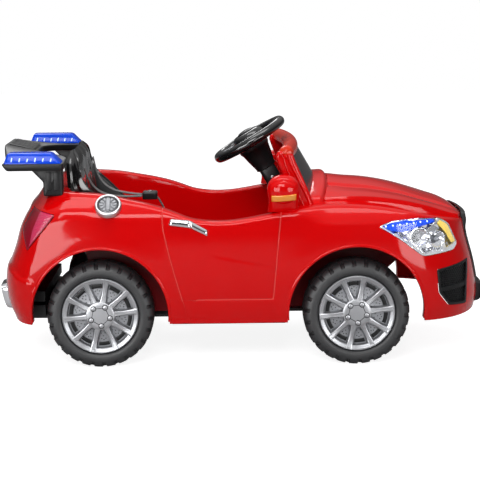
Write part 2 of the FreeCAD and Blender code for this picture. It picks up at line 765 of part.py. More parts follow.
def exhaust_outline(y, amount):
    half = EXHAUST_WIDTH / 2 - amount
    tall = EXHAUST_HEIGHT / 2 - amount
    corner = tall / 2
    z = at_z(EXHAUST_HEIGHT_SHARE)
    return [
        (y - half, z - tall + corner), (y - half + corner, z - tall), (y + half - corner, z - tall),
        (y + half, z - tall + corner), (y + half, z + tall - corner), (y + half - corner, z + tall),
        (y - half + corner, z + tall), (y - half, z + tall - corner),
    ]


def make_exhausts():
    tips = []
    for y in (-EXHAUST_SPACING / 2, EXHAUST_SPACING / 2):
        tip = layer(prism_x(exhaust_outline(y, 0), -LENGTH, 0), EXHAUST_DEPTH, TRIM_DEPTH + SKIN_GAP)
        hole = layer(
            prism_x(exhaust_outline(y, EXHAUST_RIM), -LENGTH, 0), EXHAUST_DEPTH + OVERRUN / 2,
            TRIM_DEPTH * 2,
        )
        tips.append(tip.cut(hole))
    return tips


def make_fuel_cap():
    tilt = math.radians(FUEL_CAP_TILT_DEG)
    out = V(0, -math.cos(tilt), math.sin(tilt))
    z = at_z(FUEL_CAP_SHARE[1])
    base = V(at_x(FUEL_CAP_SHARE[0]), -surface_y(z), z)
    cap = rod(base - out * OVERRUN / 2, base + out * FUEL_CAP_RISE, FUEL_CAP_RADIUS)
    rim = rod(base + out * FUEL_CAP_RISE / 2, base + out * OVERRUN, FUEL_CAP_RADIUS - EXHAUST_RIM)
    rim = rim.cut(rod(base, base + out * OVERRUN * 2, FUEL_CAP_RADIUS - EXHAUST_RIM * 2))
    cap = cap.cut(rim).cut(body_at(0))
    return max(cap.Solids, key=lambda solid: solid.Volume)


def surface_y(z):
    """Half-width of the flank at a height, read between the body levels."""
    share = (z - SILL_CLEARANCE) / RISE
    for low, high in zip(BODY_LEVEL_SHARES, BODY_LEVEL_SHARES[1:]):
        if share <= high[0]:
            blend = (share - low[0]) / (high[0] - low[0])
            return HALF_WIDTH * (low[1] + (high[1] - low[1]) * blend)
    return HALF_WIDTH * BODY_LEVEL_SHARES[-1][1]


def mirror_pod(grow):
    ball = Part.makeSphere(MIRROR_LENGTH / 2 + grow)
    stretch = FreeCAD.Matrix()
    size = MIRROR_LENGTH / 2 + grow
    stretch.scale(1, (MIRROR_WIDTH / 2 + grow) / size, (MIRROR_HEIGHT / 2 + grow) / size)
    pod = ball.transformGeometry(stretch)
    pod.translate(V(at_x(MIRROR_SHARE[0]), MIRROR_CENTRE_Y, at_z(MIRROR_SHARE[1])))
    return pod


def make_mirror():
    """Left mirror pod on its stem, and its indicator strip."""
    x, z = at_x(MIRROR_SHARE[0]), at_z(MIRROR_SHARE[1])
    foot = V(x, MIRROR_CENTRE_Y - MIRROR_WIDTH / 3, at_z(TOP_LINE_SHARES[15][1]) - WALL)
    stem = rod(foot, V(x, MIRROR_CENTRE_Y - MIRROR_WIDTH / 8, z), MIRROR_STEM)
    housing = mirror_pod(0).fuse(stem).cut(body_at(0))
    housing = max(housing.Solids, key=lambda solid: solid.Volume)
    low = z - MIRROR_HEIGHT / 3
    strip = box(
        x - INDICATOR_LENGTH / 2, x + INDICATOR_LENGTH / 2, MIRROR_CENTRE_Y, BODY_WIDTH, low,
        low + INDICATOR_HEIGHT,
    )
    strip = strip.common(mirror_pod(INDICATOR_RISE)).cut(mirror_pod(RUNNING_GAP))
    return housing, strip


def bar_section(y, rear, front, drop):
    points = [
        V(rear[0], y, rear[1]), V(front[0], y, front[1]),
        V(front[0], y, front[1] - drop), V(rear[0], y, rear[1] - drop),
    ]
    return Part.makePolygon(points + points[:1])


def make_light_bar():
    """Gull-wing bridge, pod bases and posts; returns the frame and the left lens."""
    floor = at_z(POD_FLOOR_SHARE)
    top = floor + POD_BASE_HEIGHT
    rear, front = at_x(POD_REAR_SHARE), at_x(POD_FRONT_SHARE)
    wing = [
        (at_x(BAR_REAR_SHARE[0]), at_z(BAR_REAR_SHARE[1])),
        (at_x(BAR_FRONT_SHARE[0]), at_z(BAR_FRONT_SHARE[1])),
    ]
    pod_end = [(rear, top), (front, top)]
    sections = []
    for y, ends in (
        (-POD_INNER, pod_end), (-BAR_CENTRE_HALF, wing), (BAR_CENTRE_HALF, wing), (POD_INNER, pod_end),
    ):
        sections.append(bar_section(y, ends[0], ends[1], BAR_THICKNESS))
    bridge = Part.makeLoft(sections, True, True)
    base = [(rear, floor + POD_SLOPE), (rear + POD_SLOPE, floor), (front, floor), (front, top), (rear, top)]
    base = prism_y(base, POD_INNER, POD_OUTER)
    post_rear, post_front = at_x(POST_REAR_SHARE), at_x(POST_FRONT_SHARE)
    deck = DECK_HEIGHT - OVERRUN / 4
    post = [
        (post_rear, deck), (post_front, deck), (post_front, floor + POD_SLOPE),
        (post_rear - POST_GUSSET, floor + POD_SLOPE), (post_rear - POST_GUSSET, floor),
        (post_rear, floor - POST_GUSSET),
    ]
    post = prism_y(post, POD_INNER, POD_INNER + POST_WIDTH).cut(body_at(0))
    frame = fuse([bridge] + both(base) + both(post))
    lens = [
        (rear + POD_SLOPE / 2, top), (front - POD_SLOPE / 2, top),
        (front - POD_SLOPE / 2 - POD_NOSE_SLOPE, top + POD_LENS_HEIGHT),
        (rear + POD_SLOPE * POD_TAIL_SHARE, top + POD_LENS_HEIGHT),
    ]
    return frame, prism_y(lens, POD_INNER + SEAM, POD_OUTER - SEAM)


def thick_line(points, thickness):
    """Close a run of (x, z) points into a band of even thickness on its left side."""
    back = []
    for index, (x, z) in enumerate(points):
        before = points[max(index - 1, 0)]
        after = points[min(index + 1, len(points) - 1)]
        run = V(after[0] - before[0], after[1] - before[1], 0)
        run.normalize()
        back.append((x + run.y * -thickness, z + run.x * thickness))
    return points + back[::-1]


def make_seat():
    face = side_points(SEAT_FACE_SHARES)
    panel = prism_y(thick_line(face, SEAT_PANEL), -SEAT_HALF, SEAT_HALF)
    wing = prism_y(side_points(SEAT_SIDE_SHARES), SEAT_HALF - SEAT_PANEL, SEAT_HALF + SEAT_WING)
    front = at_x(SKIRT_SHARE)
    rear = at_x(SKIRT_REAR_SHARE)
    skirt_top = at_z(SEAT_FACE_SHARES[1][1])
    skirt = box(front - SEAT_SKIRT, front, -SEAT_HALF, SEAT_HALF, PAN_TOP, skirt_top)
    side = box(rear, front, SEAT_HALF - SEAT_SKIRT, SEAT_HALF, PAN_TOP, skirt_top)
    seat = fuse([panel, skirt] + both(wing) + both(side))
    top = at_z(SEAT_FACE_SHARES[-1][1])
    shoulder = at_z(SEAT_FACE_SHARES[-3][1])
    wide = SEAT_HALF + SEAT_WING
    crown = [
        (wide, 0), (wide, shoulder), (wide * SEAT_SHOULDER_SHARE, top - SEAT_PANEL),
        (wide * SEAT_TOP_SHARE, top + SEAT_PANEL),
    ]
    crown = crown + [(-y, z) for y, z in reversed(crown)]
    seat = seat.common(prism_x(crown, -LENGTH, 0))
    slots = []
    anchor = STRAP_SHARES[0]
    y, z = at_y(anchor[1]), at_z(anchor[2])
    slot = box(
        -HALF_LENGTH, 0, y - SEAT_SLOT_LENGTH / 2, y + SEAT_SLOT_LENGTH / 2, z - SEAT_SLOT_HEIGHT / 2,
        z + SEAT_SLOT_HEIGHT / 2,
    )
    slots += both(slot.common(panel))
    return seat.cut(slots)


def strap_loft(points):
    """Flat webbing through points, its width across the car."""
    wires = []
    for index, (x, y, z) in enumerate(points):
        before = points[max(index - 1, 0)]
        after = points[min(index + 1, len(points) - 1)]
        run = V(after[0] - before[0], 0, after[2] - before[2])
        run.normalize()
        lift = V(-run.z, 0, run.x) * (STRAP_THICKNESS / 2)
        side = V(0, STRAP_WIDTH / 2, 0)
        here = V(x, y, z)
        corners = [here - side - lift, here + side - lift, here + side + lift, here - side + lift]
        wires.append(Part.makePolygon(corners + corners[:1]))
    return Part.makeLoft(wires, True, True)


def make_harness():
    straps = both(strap_loft([(at_x(x), at_y(y), at_z(z)) for x, y, z in STRAP_SHARES]))
    straps.append(strap_loft([(at_x(x), 0, at_z(z)) for x, z in CROTCH_SHARES]))
    x, z = at_x(BUCKLE_SHARE[0]), at_z(BUCKLE_SHARE[1])
    buckle = box(
        x - BUCKLE_LENGTH / 2, x + BUCKLE_LENGTH / 2, -BUCKLE_WIDTH / 2, BUCKLE_WIDTH / 2,
        z - BUCKLE_THICKNESS / 2, z + BUCKLE_THICKNESS / 2,
    )
    return [strap.cut(buckle) for strap in straps], buckle


def make_steering():
    """Steering wheel, horn pad, shaft and column cover, drawn about Z and set on the column."""
    ring = Part.makeTorus(STEERING_RADIUS, STEERING_GRIP)
    hub = Part.makeCylinder(STEERING_HUB, STEERING_HUB_DEPTH, V(0, 0, -STEERING_HUB_DEPTH / 2))
    half = STEERING_SPOKE_WIDTH / 2
    spokes = []
    for turn in (0, 90, 180):
        spoke = box(0, STEERING_RADIUS, -half, half, -STEERING_SPOKE_DEPTH / 2, STEERING_SPOKE_DEPTH / 2)
        spoke.rotate(V(0, 0, 0), V(0, 0, 1), turn + 90)
        spokes.append(spoke)
    wheel = fuse([ring, hub] + spokes)
    top = STEERING_HUB_DEPTH / 2
    floor = top - HORN_PAD_DEPTH + HORN_PAD_TRAVEL
    well = Part.makeCylinder(HORN_PAD_RADIUS + BUTTON_GAP, OVERRUN, V(0, 0, floor - HORN_PAD_TRAVEL))
    socket = Part.makeCylinder(
        SHAFT_RADIUS, STEERING_HUB_DEPTH, V(0, 0, -STEERING_HUB_DEPTH * HUB_SOCKET_SHARE),
    )
    wheel = wheel.cut([well, socket])
    pad = Part.makeCylinder(HORN_PAD_RADIUS, HORN_PAD_DEPTH, V(0, 0, floor))
    shaft_top = STEERING_HUB_DEPTH * (1 - HUB_SOCKET_SHARE)
    shaft = Part.makeCylinder(
        SHAFT_RADIUS, SHAFT_LENGTH + shaft_top + CRANK_THICKNESS,
        V(0, 0, -SHAFT_LENGTH - CRANK_THICKNESS),
    )
    crank = box(
        -CRANK_RADIUS, 0, -CRANK_WIDTH / 2, CRANK_WIDTH / 2, -SHAFT_LENGTH - CRANK_THICKNESS,
        -SHAFT_LENGTH,
    )
    tip = V(-CRANK_RADIUS, 0, -SHAFT_LENGTH)
    boss = Part.makeCylinder(CRANK_WIDTH / 2, CRANK_THICKNESS, tip - V(0, 0, CRANK_THICKNESS))
    pin = Part.makeCylinder(
        CRANK_PIN_RADIUS, CRANK_PIN_REACH + CRANK_THICKNESS,
        tip - V(0, 0, CRANK_PIN_REACH + CRANK_THICKNESS),
    )
    shaft = fuse([shaft, crank, boss, pin])
    start = -STEERING_HUB_DEPTH / 2 - COVER_GAP
    cone = Part.makeCone(
        COVER_WAIST_RADIUS, COVER_TOP_RADIUS, COVER_CONE_LENGTH, V(0, 0, start - COVER_CONE_LENGTH),
    )
    tube = Part.makeCylinder(COVER_TUBE_RADIUS, COVER_LENGTH, V(0, 0, start - COVER_LENGTH))
    room = Part.makeCylinder(
        COVER_TUBE_RADIUS - COVER_WALL, COVER_LENGTH * 2, V(0, 0, start - COVER_LENGTH * 3 / 2),
    )
    cover = cone.fuse(tube).cut(room)
    bush = Part.makeCylinder(COVER_TUBE_RADIUS - COVER_WALL, BUSH_LENGTH)
    bush = bush.cut(Part.makeCylinder(SHAFT_RADIUS + RUNNING_GAP, BUSH_LENGTH))
    upper = bush.copy()
    upper.translate(V(0, 0, start - COVER_CONE_LENGTH))
    lower = bush.copy()
    lower.translate(V(0, 0, start - COVER_LENGTH))
    cover = fuse([cover, upper, lower])
    return [on_column(shape) for shape in (wheel, pad, shaft, cover)]


def make_tie_rod():
    plate = box(
        -TIE_PLATE_LENGTH / 2, TIE_PLATE_LENGTH / 2, -TIE_PLATE_WIDTH / 2, TIE_PLATE_WIDTH / 2,
        -TIE_PLATE / 2, TIE_PLATE / 2,
    )
    half = CRANK_PIN_RADIUS + TIE_SLOT_GAP
    slot = box(-TIE_SLOT_LENGTH / 2, TIE_SLOT_LENGTH / 2, -half, half, -TIE_PLATE, TIE_PLATE)
    plate.rotate(V(0, 0, 0), V(0, 1, 0), -COLUMN_TILT_DEG)
    slot.rotate(V(0, 0, 0), V(0, 1, 0), -COLUMN_TILT_DEG)
    centre = V(TIE_X, 0, TIE_Z)
    plate.translate(centre)
    slot.translate(centre)
    bar = rod_y(TIE_X, TIE_Z, TIE_RADIUS, TIE_PLATE_WIDTH / 2 - TIE_RADIUS, KINGPIN_Y)
    eye = rod(
        V(TIE_X, KINGPIN_Y, TIE_Z - TIE_RADIUS), V(TIE_X, KINGPIN_Y, TIE_Z + TIE_RADIUS),
        TIE_RADIUS * TIE_EYE_SHARE,
    )
    pin_low = AXLE_Z - ARM_THICKNESS
    pin = rod(V(TIE_X, KINGPIN_Y, pin_low), V(TIE_X, KINGPIN_Y, TIE_Z), TIE_PIN_RADIUS)
    side = fuse([bar, eye, pin])
    return fuse([plate] + both(side)).cut(slot)


def make_knuckle():
    """Left knuckle: trunnions, spindle, steering arm and the nut that keeps the wheel on."""
    half = KNUCKLE_HEIGHT / 2
    x, y, z = FRONT_X, KINGPIN_Y, AXLE_Z
    barrel = rod(V(x, y, z - half), V(x, y, z + half), KNUCKLE_RADIUS)
    reach = half + EAR_GAP + EAR_THICKNESS
    trunnion = rod(V(x, y, z - reach), V(x, y, z + reach), KINGPIN_RADIUS)
    spindle = rod_y(x, z, AXLE_RADIUS, y, WHEEL_Y + AXLE_END)
    arm = box(
        x - ARM_LENGTH, x, y - ARM_WIDTH / 2, y + ARM_WIDTH / 2, z - ARM_THICKNESS / 2,
        z + ARM_THICKNESS / 2,
    )
    end = rod(
        V(x - ARM_LENGTH, y, z - ARM_THICKNESS / 2), V(x - ARM_LENGTH, y, z + ARM_THICKNESS / 2),
        ARM_WIDTH / 2,
    )
    knuckle = fuse([barrel, trunnion, spindle, arm, end])
    wide = TIE_PIN_RADIUS + ARM_SLOT_GAP
    slot = rod(
        V(x - ARM_LENGTH - ARM_SLOT_REACH, y, z - half),
        V(x - ARM_LENGTH - ARM_SLOT_REACH, y, z + half), wide,
    )
    slot = slot.fuse(
        rod(V(x - ARM_LENGTH + SEAM, y, z - half), V(x - ARM_LENGTH + SEAM, y, z + half), wide),
    )
    slot = slot.fuse(
        box(x - ARM_LENGTH - ARM_SLOT_REACH, x - ARM_LENGTH + SEAM, y - wide, y + wide, z - half, z + half),
    )
    return knuckle.cut(slot), make_nut(FRONT_X)


def make_nut(x):
    """Hexagon nut on the outer end of the left spindle or axle."""
    points = []
    for step in range(6):
        turn = math.pi / 3 * step
        points.append((x + NUT_RADIUS * math.cos(turn), AXLE_Z + NUT_RADIUS * math.sin(turn)))
    start = WHEEL_Y + HUB_REACH + END_GAP
    nut = prism_y(points, start, start + NUT_THICKNESS)
    return nut.cut(rod_y(x, AXLE_Z, AXLE_RADIUS, start - OVERRUN, start + OVERRUN))


def make_beam():
    half = KNUCKLE_HEIGHT / 2 + EAR_GAP
    inner = KINGPIN_Y - KNUCKLE_RADIUS - ARM_WIDTH / 2
    top = AXLE_Z + half + EAR_THICKNESS
    bar = box(FRONT_X - BEAM_WIDTH / 2, FRONT_X + BEAM_WIDTH / 2, -inner, inner, PAN_TOP, top)
    ears = []
    for low in (AXLE_Z + half, AXLE_Z - half - EAR_THICKNESS):
        ear = box(
            FRONT_X - BEAM_WIDTH / 2, FRONT_X + BEAM_WIDTH / 2, inner - EAR_REACH,
            KINGPIN_Y + EAR_REACH, low, low + EAR_THICKNESS,
        )
        ears += both(ear)
    web = box(
        FRONT_X - BEAM_WIDTH / 2, FRONT_X + BEAM_WIDTH / 2, inner - EAR_REACH, inner,
        AXLE_Z - half - EAR_THICKNESS, top,
    )
    beam = fuse([bar] + ears + both(web))
    pins = both(
        rod(V(FRONT_X, KINGPIN_Y, 0), V(FRONT_X, KINGPIN_Y, TYRE_RADIUS * 2), KINGPIN_RADIUS + RUNNING_GAP),
    )
    return beam.cut(pins)


def make_wheel():
    """Hollow moulded wheel about the origin, outer face towards +Y."""
    half = TYRE_WIDTH / 2
    bore = AXLE_RADIUS + RUNNING_GAP
    web_out = WEB_OFFSET + WEB_THICKNESS
    mouth = half - SIDEWALL
    drum = BARREL_RADIUS + SIDEWALL
    tread = TYRE_RADIUS - TREAD_WALL
    bulge = (drum + TYRE_RADIUS) / 2
    points = [
        (bore, -half), (HUB_RADIUS, -half), (HUB_RADIUS, WEB_OFFSET), (drum, WEB_OFFSET),
        (drum, mouth - SIDEWALL),
        (bulge, half - SIDEWALL), (tread, half - SHOULDER), (tread, -half),
        (TYRE_RADIUS - TREAD_WALL / 4, -half),
        (TYRE_RADIUS, SHOULDER - half), (TYRE_RADIUS, half - SHOULDER),
        (TYRE_RADIUS - TREAD_WALL / 4, half - SHOULDER * SHOULDER_KNEE_SHARE),
        (tread, half - SHOULDER * SHOULDER_EDGE_SHARE), (bulge, half), (drum, mouth),
        (BARREL_RADIUS, mouth), (BARREL_RADIUS, web_out),
        (HUB_RADIUS, web_out), (HUB_RADIUS, HUB_REACH), (bore, HUB_REACH),
    ]
    wheel = face_of([V(r, y, 0) for r, y in points]).revolve(V(0, 0, 0), V(0, 1, 0), 360)
    notches = []
    for step in range(LUG_COUNT):
        for side in (-1, 1):
            turn = 360.0 / LUG_COUNT * (step + side * LUG_STAGGER_SHARE)
            edge = side * half
            low, high = sorted((edge - side * LUG_LENGTH, edge + side * OVERRUN))
            notch = box(
                TYRE_RADIUS - LUG_DEPTH, TYRE_RADIUS + OVERRUN, low, high, -LUG_GAP / 2, LUG_GAP / 2,
            )
            notch.rotate(V(0, 0, 0), V(0, 1, 0), turn)
            notches.append(notch)
    return wheel.cut(Part.makeCompound(notches))


def make_hubcap():
    """Ten-spoke cap about the origin, outer face towards +Y."""
    half = TYRE_WIDTH / 2
    plug = BARREL_RADIUS - SEAM
    lip_low = half - SIDEWALL + SEAM
    plate = ring_y(0, 0, plug, HUB_RADIUS, CAP_FLOOR, CAP_FLOOR + CAP_PLATE)
    rim = ring_y(0, 0, plug, plug - CAP_RIM, CAP_FLOOR, lip_low + CAP_LIP)
    lip = ring_y(0, 0, CAP_RADIUS, plug - CAP_RIM, lip_low, lip_low + CAP_LIP)
    boss = ring_y(0, 0, CAP_BOSS, HUB_RADIUS, CAP_FLOOR, half - SIDEWALL)
    crown = rod_y(0, 0, CAP_BOSS, half - SIDEWALL - CAP_PLATE, half)
    pieces = [plate, rim, lip, boss, crown]
    slots = []
    for pair in range(SPOKE_PAIRS):
        middle = SPOKE_SET_DEG + 360.0 / SPOKE_PAIRS * pair
        lug = math.radians(middle)
        x, z = CAP_LUG_CIRCLE * math.cos(lug), CAP_LUG_CIRCLE * math.sin(lug)
        pieces.append(rod_y(x, z, CAP_LUG_RADIUS, half - CAP_PLATE, half + CAP_LUG_RISE))
        for splay in (-SPOKE_SPLAY_DEG, SPOKE_SPLAY_DEG):
            spoke = [
                (CAP_BOSS / 2, -SPOKE_WIDTH / 2), (plug - CAP_RIM / 2, -SPOKE_TIP_WIDTH / 2),
                (plug - CAP_RIM / 2, SPOKE_TIP_WIDTH / 2), (CAP_BOSS / 2, SPOKE_WIDTH / 2),
            ]
            spoke = prism_y(spoke, CAP_FLOOR, half - SEAM)
            spoke = spoke.cut(rod_y(0, 0, HUB_RADIUS, CAP_FLOOR - OVERRUN, half - SIDEWALL - CAP_PLATE))
            spoke.rotate(V(0, 0, 0), V(0, 1, 0), -(middle + splay))
            pieces.append(spoke)
        for offset in (0, 180.0 / SPOKE_PAIRS):
            slots.append(arc_slot(middle + offset))
    return fuse(pieces).cut(Part.makeCompound(slots))


def arc_slot(middle_deg):
    """Short curved slot through the cap plate between two spokes."""
    points = []
    for radius, order in ((SLOT_RADIUS + SLOT_WIDTH / 2, 1), (SLOT_RADIUS - SLOT_WIDTH / 2, -1)):
        for step in (-1, 0, 1):
            turn = math.radians(middle_deg + SLOT_SWEEP_DEG * step * order)
            points.append((radius * math.cos(turn), radius * math.sin(turn)))
    return prism_y(points, CAP_FLOOR - OVERRUN, CAP_FLOOR + CAP_PLATE + SEAM)


def place_wheel(shape, x, side):
    placed = shape.copy() if side > 0 else flip(shape)
    placed.translate(V(x, side * WHEEL_Y, AXLE_Z))
    return placed


def gear(teeth, module, x, z, phase_deg, y0, y1):
    """Involute gear with a tooth centred on the phase angle, axis along Y."""
    pitch = module * teeth / 2
    pressure = math.radians(PRESSURE_DEG)
    base = pitch * math.cos(pressure)
    tip = pitch + ADDENDUM_SHARE * module
    root = pitch - DEDENDUM_SHARE * module
    lean = math.tan(pressure) - pressure
    half_tooth = math.pi / (2 * teeth) - BACKLASH / (2 * pitch)
    flank = []
    start = max(base, root)
    for step in range(6):
        radius = start + (tip - start) * step / 5
        angle = math.acos(min(base / radius, 1))
        flank.append((radius, half_tooth + lean - (math.tan(angle) - angle)))
    if root < base:
        flank = [(root, flank[0][1])] + flank
    points = []
    for tooth in range(teeth):
        centre = math.radians(phase_deg) + 2 * math.pi * tooth / teeth
        for radius, spread in flank:
            points.append((x + radius * math.cos(centre - spread), z + radius * math.sin(centre - spread)))
        for radius, spread in reversed(flank):
            points.append((x + radius * math.cos(centre + spread), z + radius * math.sin(centre + spread)))
    return prism_y(points, y0, y1)


def drive_places():
    """Axes of the idler and the motor, in (x, z)."""
    turn = math.radians(IDLER_DEG)
    reach = MODULE_OUT * (OUT_TEETH + SMALL_TEETH) / 2
    idler = (REAR_X + reach * math.cos(turn), AXLE_Z + reach * math.sin(turn))
    turn = math.radians(MOTOR_DEG)
    reach = MODULE_IN * (BIG_TEETH + PINION_TEETH) / 2
    motor = (idler[0] + reach * math.cos(turn), idler[1] + reach * math.sin(turn))
    return idler, motor


def box_form(y0, y1, shrink):
    """Gearbox form: three discs joined by their tangent hull, approximated by hulls of pairs."""
    idler, motor = drive_places()
    out_tip = MODULE_OUT * (OUT_TEETH / 2 + ADDENDUM_SHARE)
    big_tip = MODULE_IN * (BIG_TEETH / 2 + ADDENDUM_SHARE)
    pinion_tip = MODULE_IN * (PINION_TEETH / 2 + ADDENDUM_SHARE)
    grow = BOX_ROOM + BOX_WALL - shrink
    discs = [(REAR_X, AXLE_Z, out_tip + grow), idler + (big_tip + grow,), motor + (pinion_tip + grow,)]
    pieces = [rod_y(x, z, r, y0, y1) for x, z, r in discs]
    for (x0, z0, r0), (x1, z1, r1) in zip(discs, discs[1:]):
        run = V(x1 - x0, z1 - z0, 0)
        tilt = math.asin((r0 - r1) / run.Length)
        run.normalize()
        corners = []
        for x, z, r, side in ((x0, z0, r0, 1), (x1, z1, r1, 1), (x1, z1, r1, -1), (x0, z0, r0, -1)):
            along = math.sin(tilt) * r
            across = math.cos(tilt) * r * side
            corners.append((x + run.x * along - run.y * across, z + run.y * along + run.x * across))
        pieces.append(prism_y(corners, y0, y1))
    return fuse(pieces)


def make_drive():
    """Gearbox housing, three gears and the motor, beside the right rear wheel."""
    idler, motor = drive_places()
    y_out = -(WHEEL_IN - BOX_WHEEL_GAP)
    y_gear = y_out + BOX_WALL + GEAR_SPACE
    y_mid = y_gear + GEAR_FACE + GEAR_SPACE
    y_in = y_mid + GEAR_FACE + GEAR_SPACE + BOX_WALL
    housing = box_form(y_out, y_in, 0).cut(box_form(y_out + BOX_WALL, y_in - BOX_WALL, BOX_WALL))
    hub_hole = rod_y(REAR_X, AXLE_Z, GEAR_HUB + SEAM, y_out - OVERRUN, y_out + BOX_WALL + SEAM)
    axle_hole = rod_y(REAR_X, AXLE_Z, AXLE_RADIUS + RUNNING_GAP, y_out - OVERRUN, y_in + OVERRUN)
    shaft_hole = rod_y(motor[0], motor[1], MOTOR_SHAFT * 2, y_in - BOX_WALL - SEAM, y_in + OVERRUN)
    pin = rod_y(idler[0], idler[1], IDLER_PIN, y_out + BOX_WALL / 2, y_in - BOX_WALL / 2)
    housing = fuse([housing.cut([hub_hole, axle_hole, shaft_hole]), pin])
    out = gear(OUT_TEETH, MODULE_OUT, REAR_X, AXLE_Z, IDLER_DEG, y_gear, y_gear + GEAR_FACE)
    hub = rod_y(REAR_X, AXLE_Z, GEAR_HUB, -WHEEL_IN, y_gear + GEAR_FACE)
    out = out.fuse(hub).cut(rod_y(REAR_X, AXLE_Z, AXLE_RADIUS + RUNNING_GAP, -BODY_WIDTH, 0))
    small_phase = IDLER_DEG + 180 + 180 / SMALL_TEETH
    small = gear(SMALL_TEETH, MODULE_OUT, idler[0], idler[1], small_phase, y_gear, y_mid)
    big = gear(BIG_TEETH, MODULE_IN, idler[0], idler[1], MOTOR_DEG, y_mid, y_mid + GEAR_FACE)
    middle = fuse([small, big]).cut(rod_y(idler[0], idler[1], IDLER_PIN + RUNNING_GAP, -BODY_WIDTH, 0))
    pinion_phase = MOTOR_DEG + 180 + 180 / PINION_TEETH
    pinion = gear(PINION_TEETH, MODULE_IN, motor[0], motor[1], pinion_phase, y_mid, y_mid + GEAR_FACE)
    pinion = pinion.fuse(rod_y(motor[0], motor[1], MOTOR_SHAFT, y_mid, y_in + GEAR_FACE))
    can = rod_y(motor[0], motor[1], MOTOR_RADIUS, y_in, y_in + MOTOR_LENGTH)
    tail = rod_y(
        motor[0], motor[1], MOTOR_RADIUS / 3, y_in + MOTOR_LENGTH, y_in + MOTOR_LENGTH + GEAR_SPACE,
    )
    can = fuse([can, tail]).cut(
        rod_y(motor[0], motor[1], MOTOR_SHAFT + RUNNING_GAP, y_in - SEAM, y_in + GEAR_FACE + SEAM),
    )
    return housing, out, middle, pinion, can


def make_pan():
    """Black floor pan with its ribs, axle blocks, pedal ears and rear frame."""
    rear = PAN_REAR_INSET - HALF_LENGTH
    front = FRONT_X + PAN_FRONT_REACH
    narrow = WHEEL_IN - PAN_WHEEL_GAP
    slim = WHEEL_IN - PAN_STEER_GAP
    wide = HALF_WIDTH * BODY_LEVEL_SHARES[0][1] - WALL
    sill_rear = REAR_X + ARCH_RADIUS + PAN_ARCH_GAP
    sill_front = FRONT_X - ARCH_RADIUS - PAN_ARCH_GAP
    half = [
        (rear, narrow), (sill_rear, narrow), (sill_rear, wide), (sill_front, wide), (sill_front, slim),
        (front, slim),
    ]
    outline = half + [(x, -y) for x, y in reversed(half)]
    pieces = [prism_z(outline, PAN_BOTTOM, PAN_TOP)]
    for y in (-slim / 2, slim / 2):
        pieces.append(
            box(
                sill_rear, front, y - RIB_WIDTH / 2, y + RIB_WIDTH / 2, PAN_BOTTOM - RIB_HEIGHT, PAN_BOTTOM
            ),
        )
    idler, motor = drive_places()
    y_in = -(WHEEL_IN - BOX_WHEEL_GAP) + BOX_WALL * 2 + GEAR_SPACE * 3 + GEAR_FACE * 2
    block_y = (-(narrow - BLOCK_INSET) + (y_in + narrow), narrow - BLOCK_INSET)
    for y in block_y:
        pieces.append(box(
            REAR_X - BLOCK_LENGTH / 2, REAR_X + BLOCK_LENGTH / 2, y - BLOCK_WIDTH / 2, y + BLOCK_WIDTH / 2,
            PAN_BOTTOM, AXLE_Z + AXLE_RADIUS + BLOCK_WALL,
        ))
    bar_top = PAN_TOP + FRAME_BAR_HEIGHT
    upper = bar_top + FRAME_BAR_GAP
    pieces.append(box(rear, rear + FRAME_BAR_DEPTH, -narrow, narrow, PAN_BOTTOM, bar_top))
    pieces.append(box(rear, rear + FRAME_BAR_DEPTH, -narrow, narrow, upper, upper + FRAME_BAR_HEIGHT))
    for y in (-narrow / 2, narrow / 2):
        pieces.append(
            box(rear, rear + FRAME_BAR_DEPTH / 2, y - BLOCK_WIDTH, y + BLOCK_WIDTH, bar_top, upper),
        )
    pin_x, pin_z = pedal_pivot()
    for side in (-1, 1):
        y = -PEDAL_SIDE + side * (PEDAL_WIDTH / 2 + PEDAL_EAR / 2 + END_GAP)
        ear = box(
            pin_x - PEDAL_PIN * 2, pin_x + PEDAL_PIN * 2, y - PEDAL_EAR / 2, y + PEDAL_EAR / 2,
            PAN_TOP, pin_z + PEDAL_PIN * 2,
        )
        pieces.append(ear)
    pan = fuse(pieces)
    holes = [rod_y(REAR_X, AXLE_Z, AXLE_RADIUS, -BODY_WIDTH, BODY_WIDTH)]
    y_out = -(WHEEL_IN - BOX_WHEEL_GAP)
    out_tip = MODULE_OUT * (OUT_TEETH / 2 + ADDENDUM_SHARE) + BOX_ROOM + BOX_WALL
    holes.append(
        box(
            REAR_X - out_tip - SEAM * 2, motor[0] + MOTOR_RADIUS * 2, -HALF_WIDTH, y_in + SEAM, 0,
            PAN_TOP + SEAM,
        ),
    )
    holes.append(rod_y(pin_x, pin_z, PEDAL_PIN + RUNNING_GAP, -HALF_WIDTH, 0))
    for x, y in screw_places():
        holes.append(rod(V(x, y, 0), V(x, y, PAN_TOP + SEAM), SCREW_RADIUS + RUNNING_GAP))
        holes.append(rod(V(x, y, 0), V(x, y, PAN_BOTTOM + SCREW_HEAD_DEPTH), SCREW_HEAD + RUNNING_GAP))
    pan = pan.cut(holes)
    return max(pan.Solids, key=lambda solid: solid.Volume)


def pedal_pivot():
    return at_x(PEDAL_SHARE), PAN_TOP + PEDAL_PIN_RISE


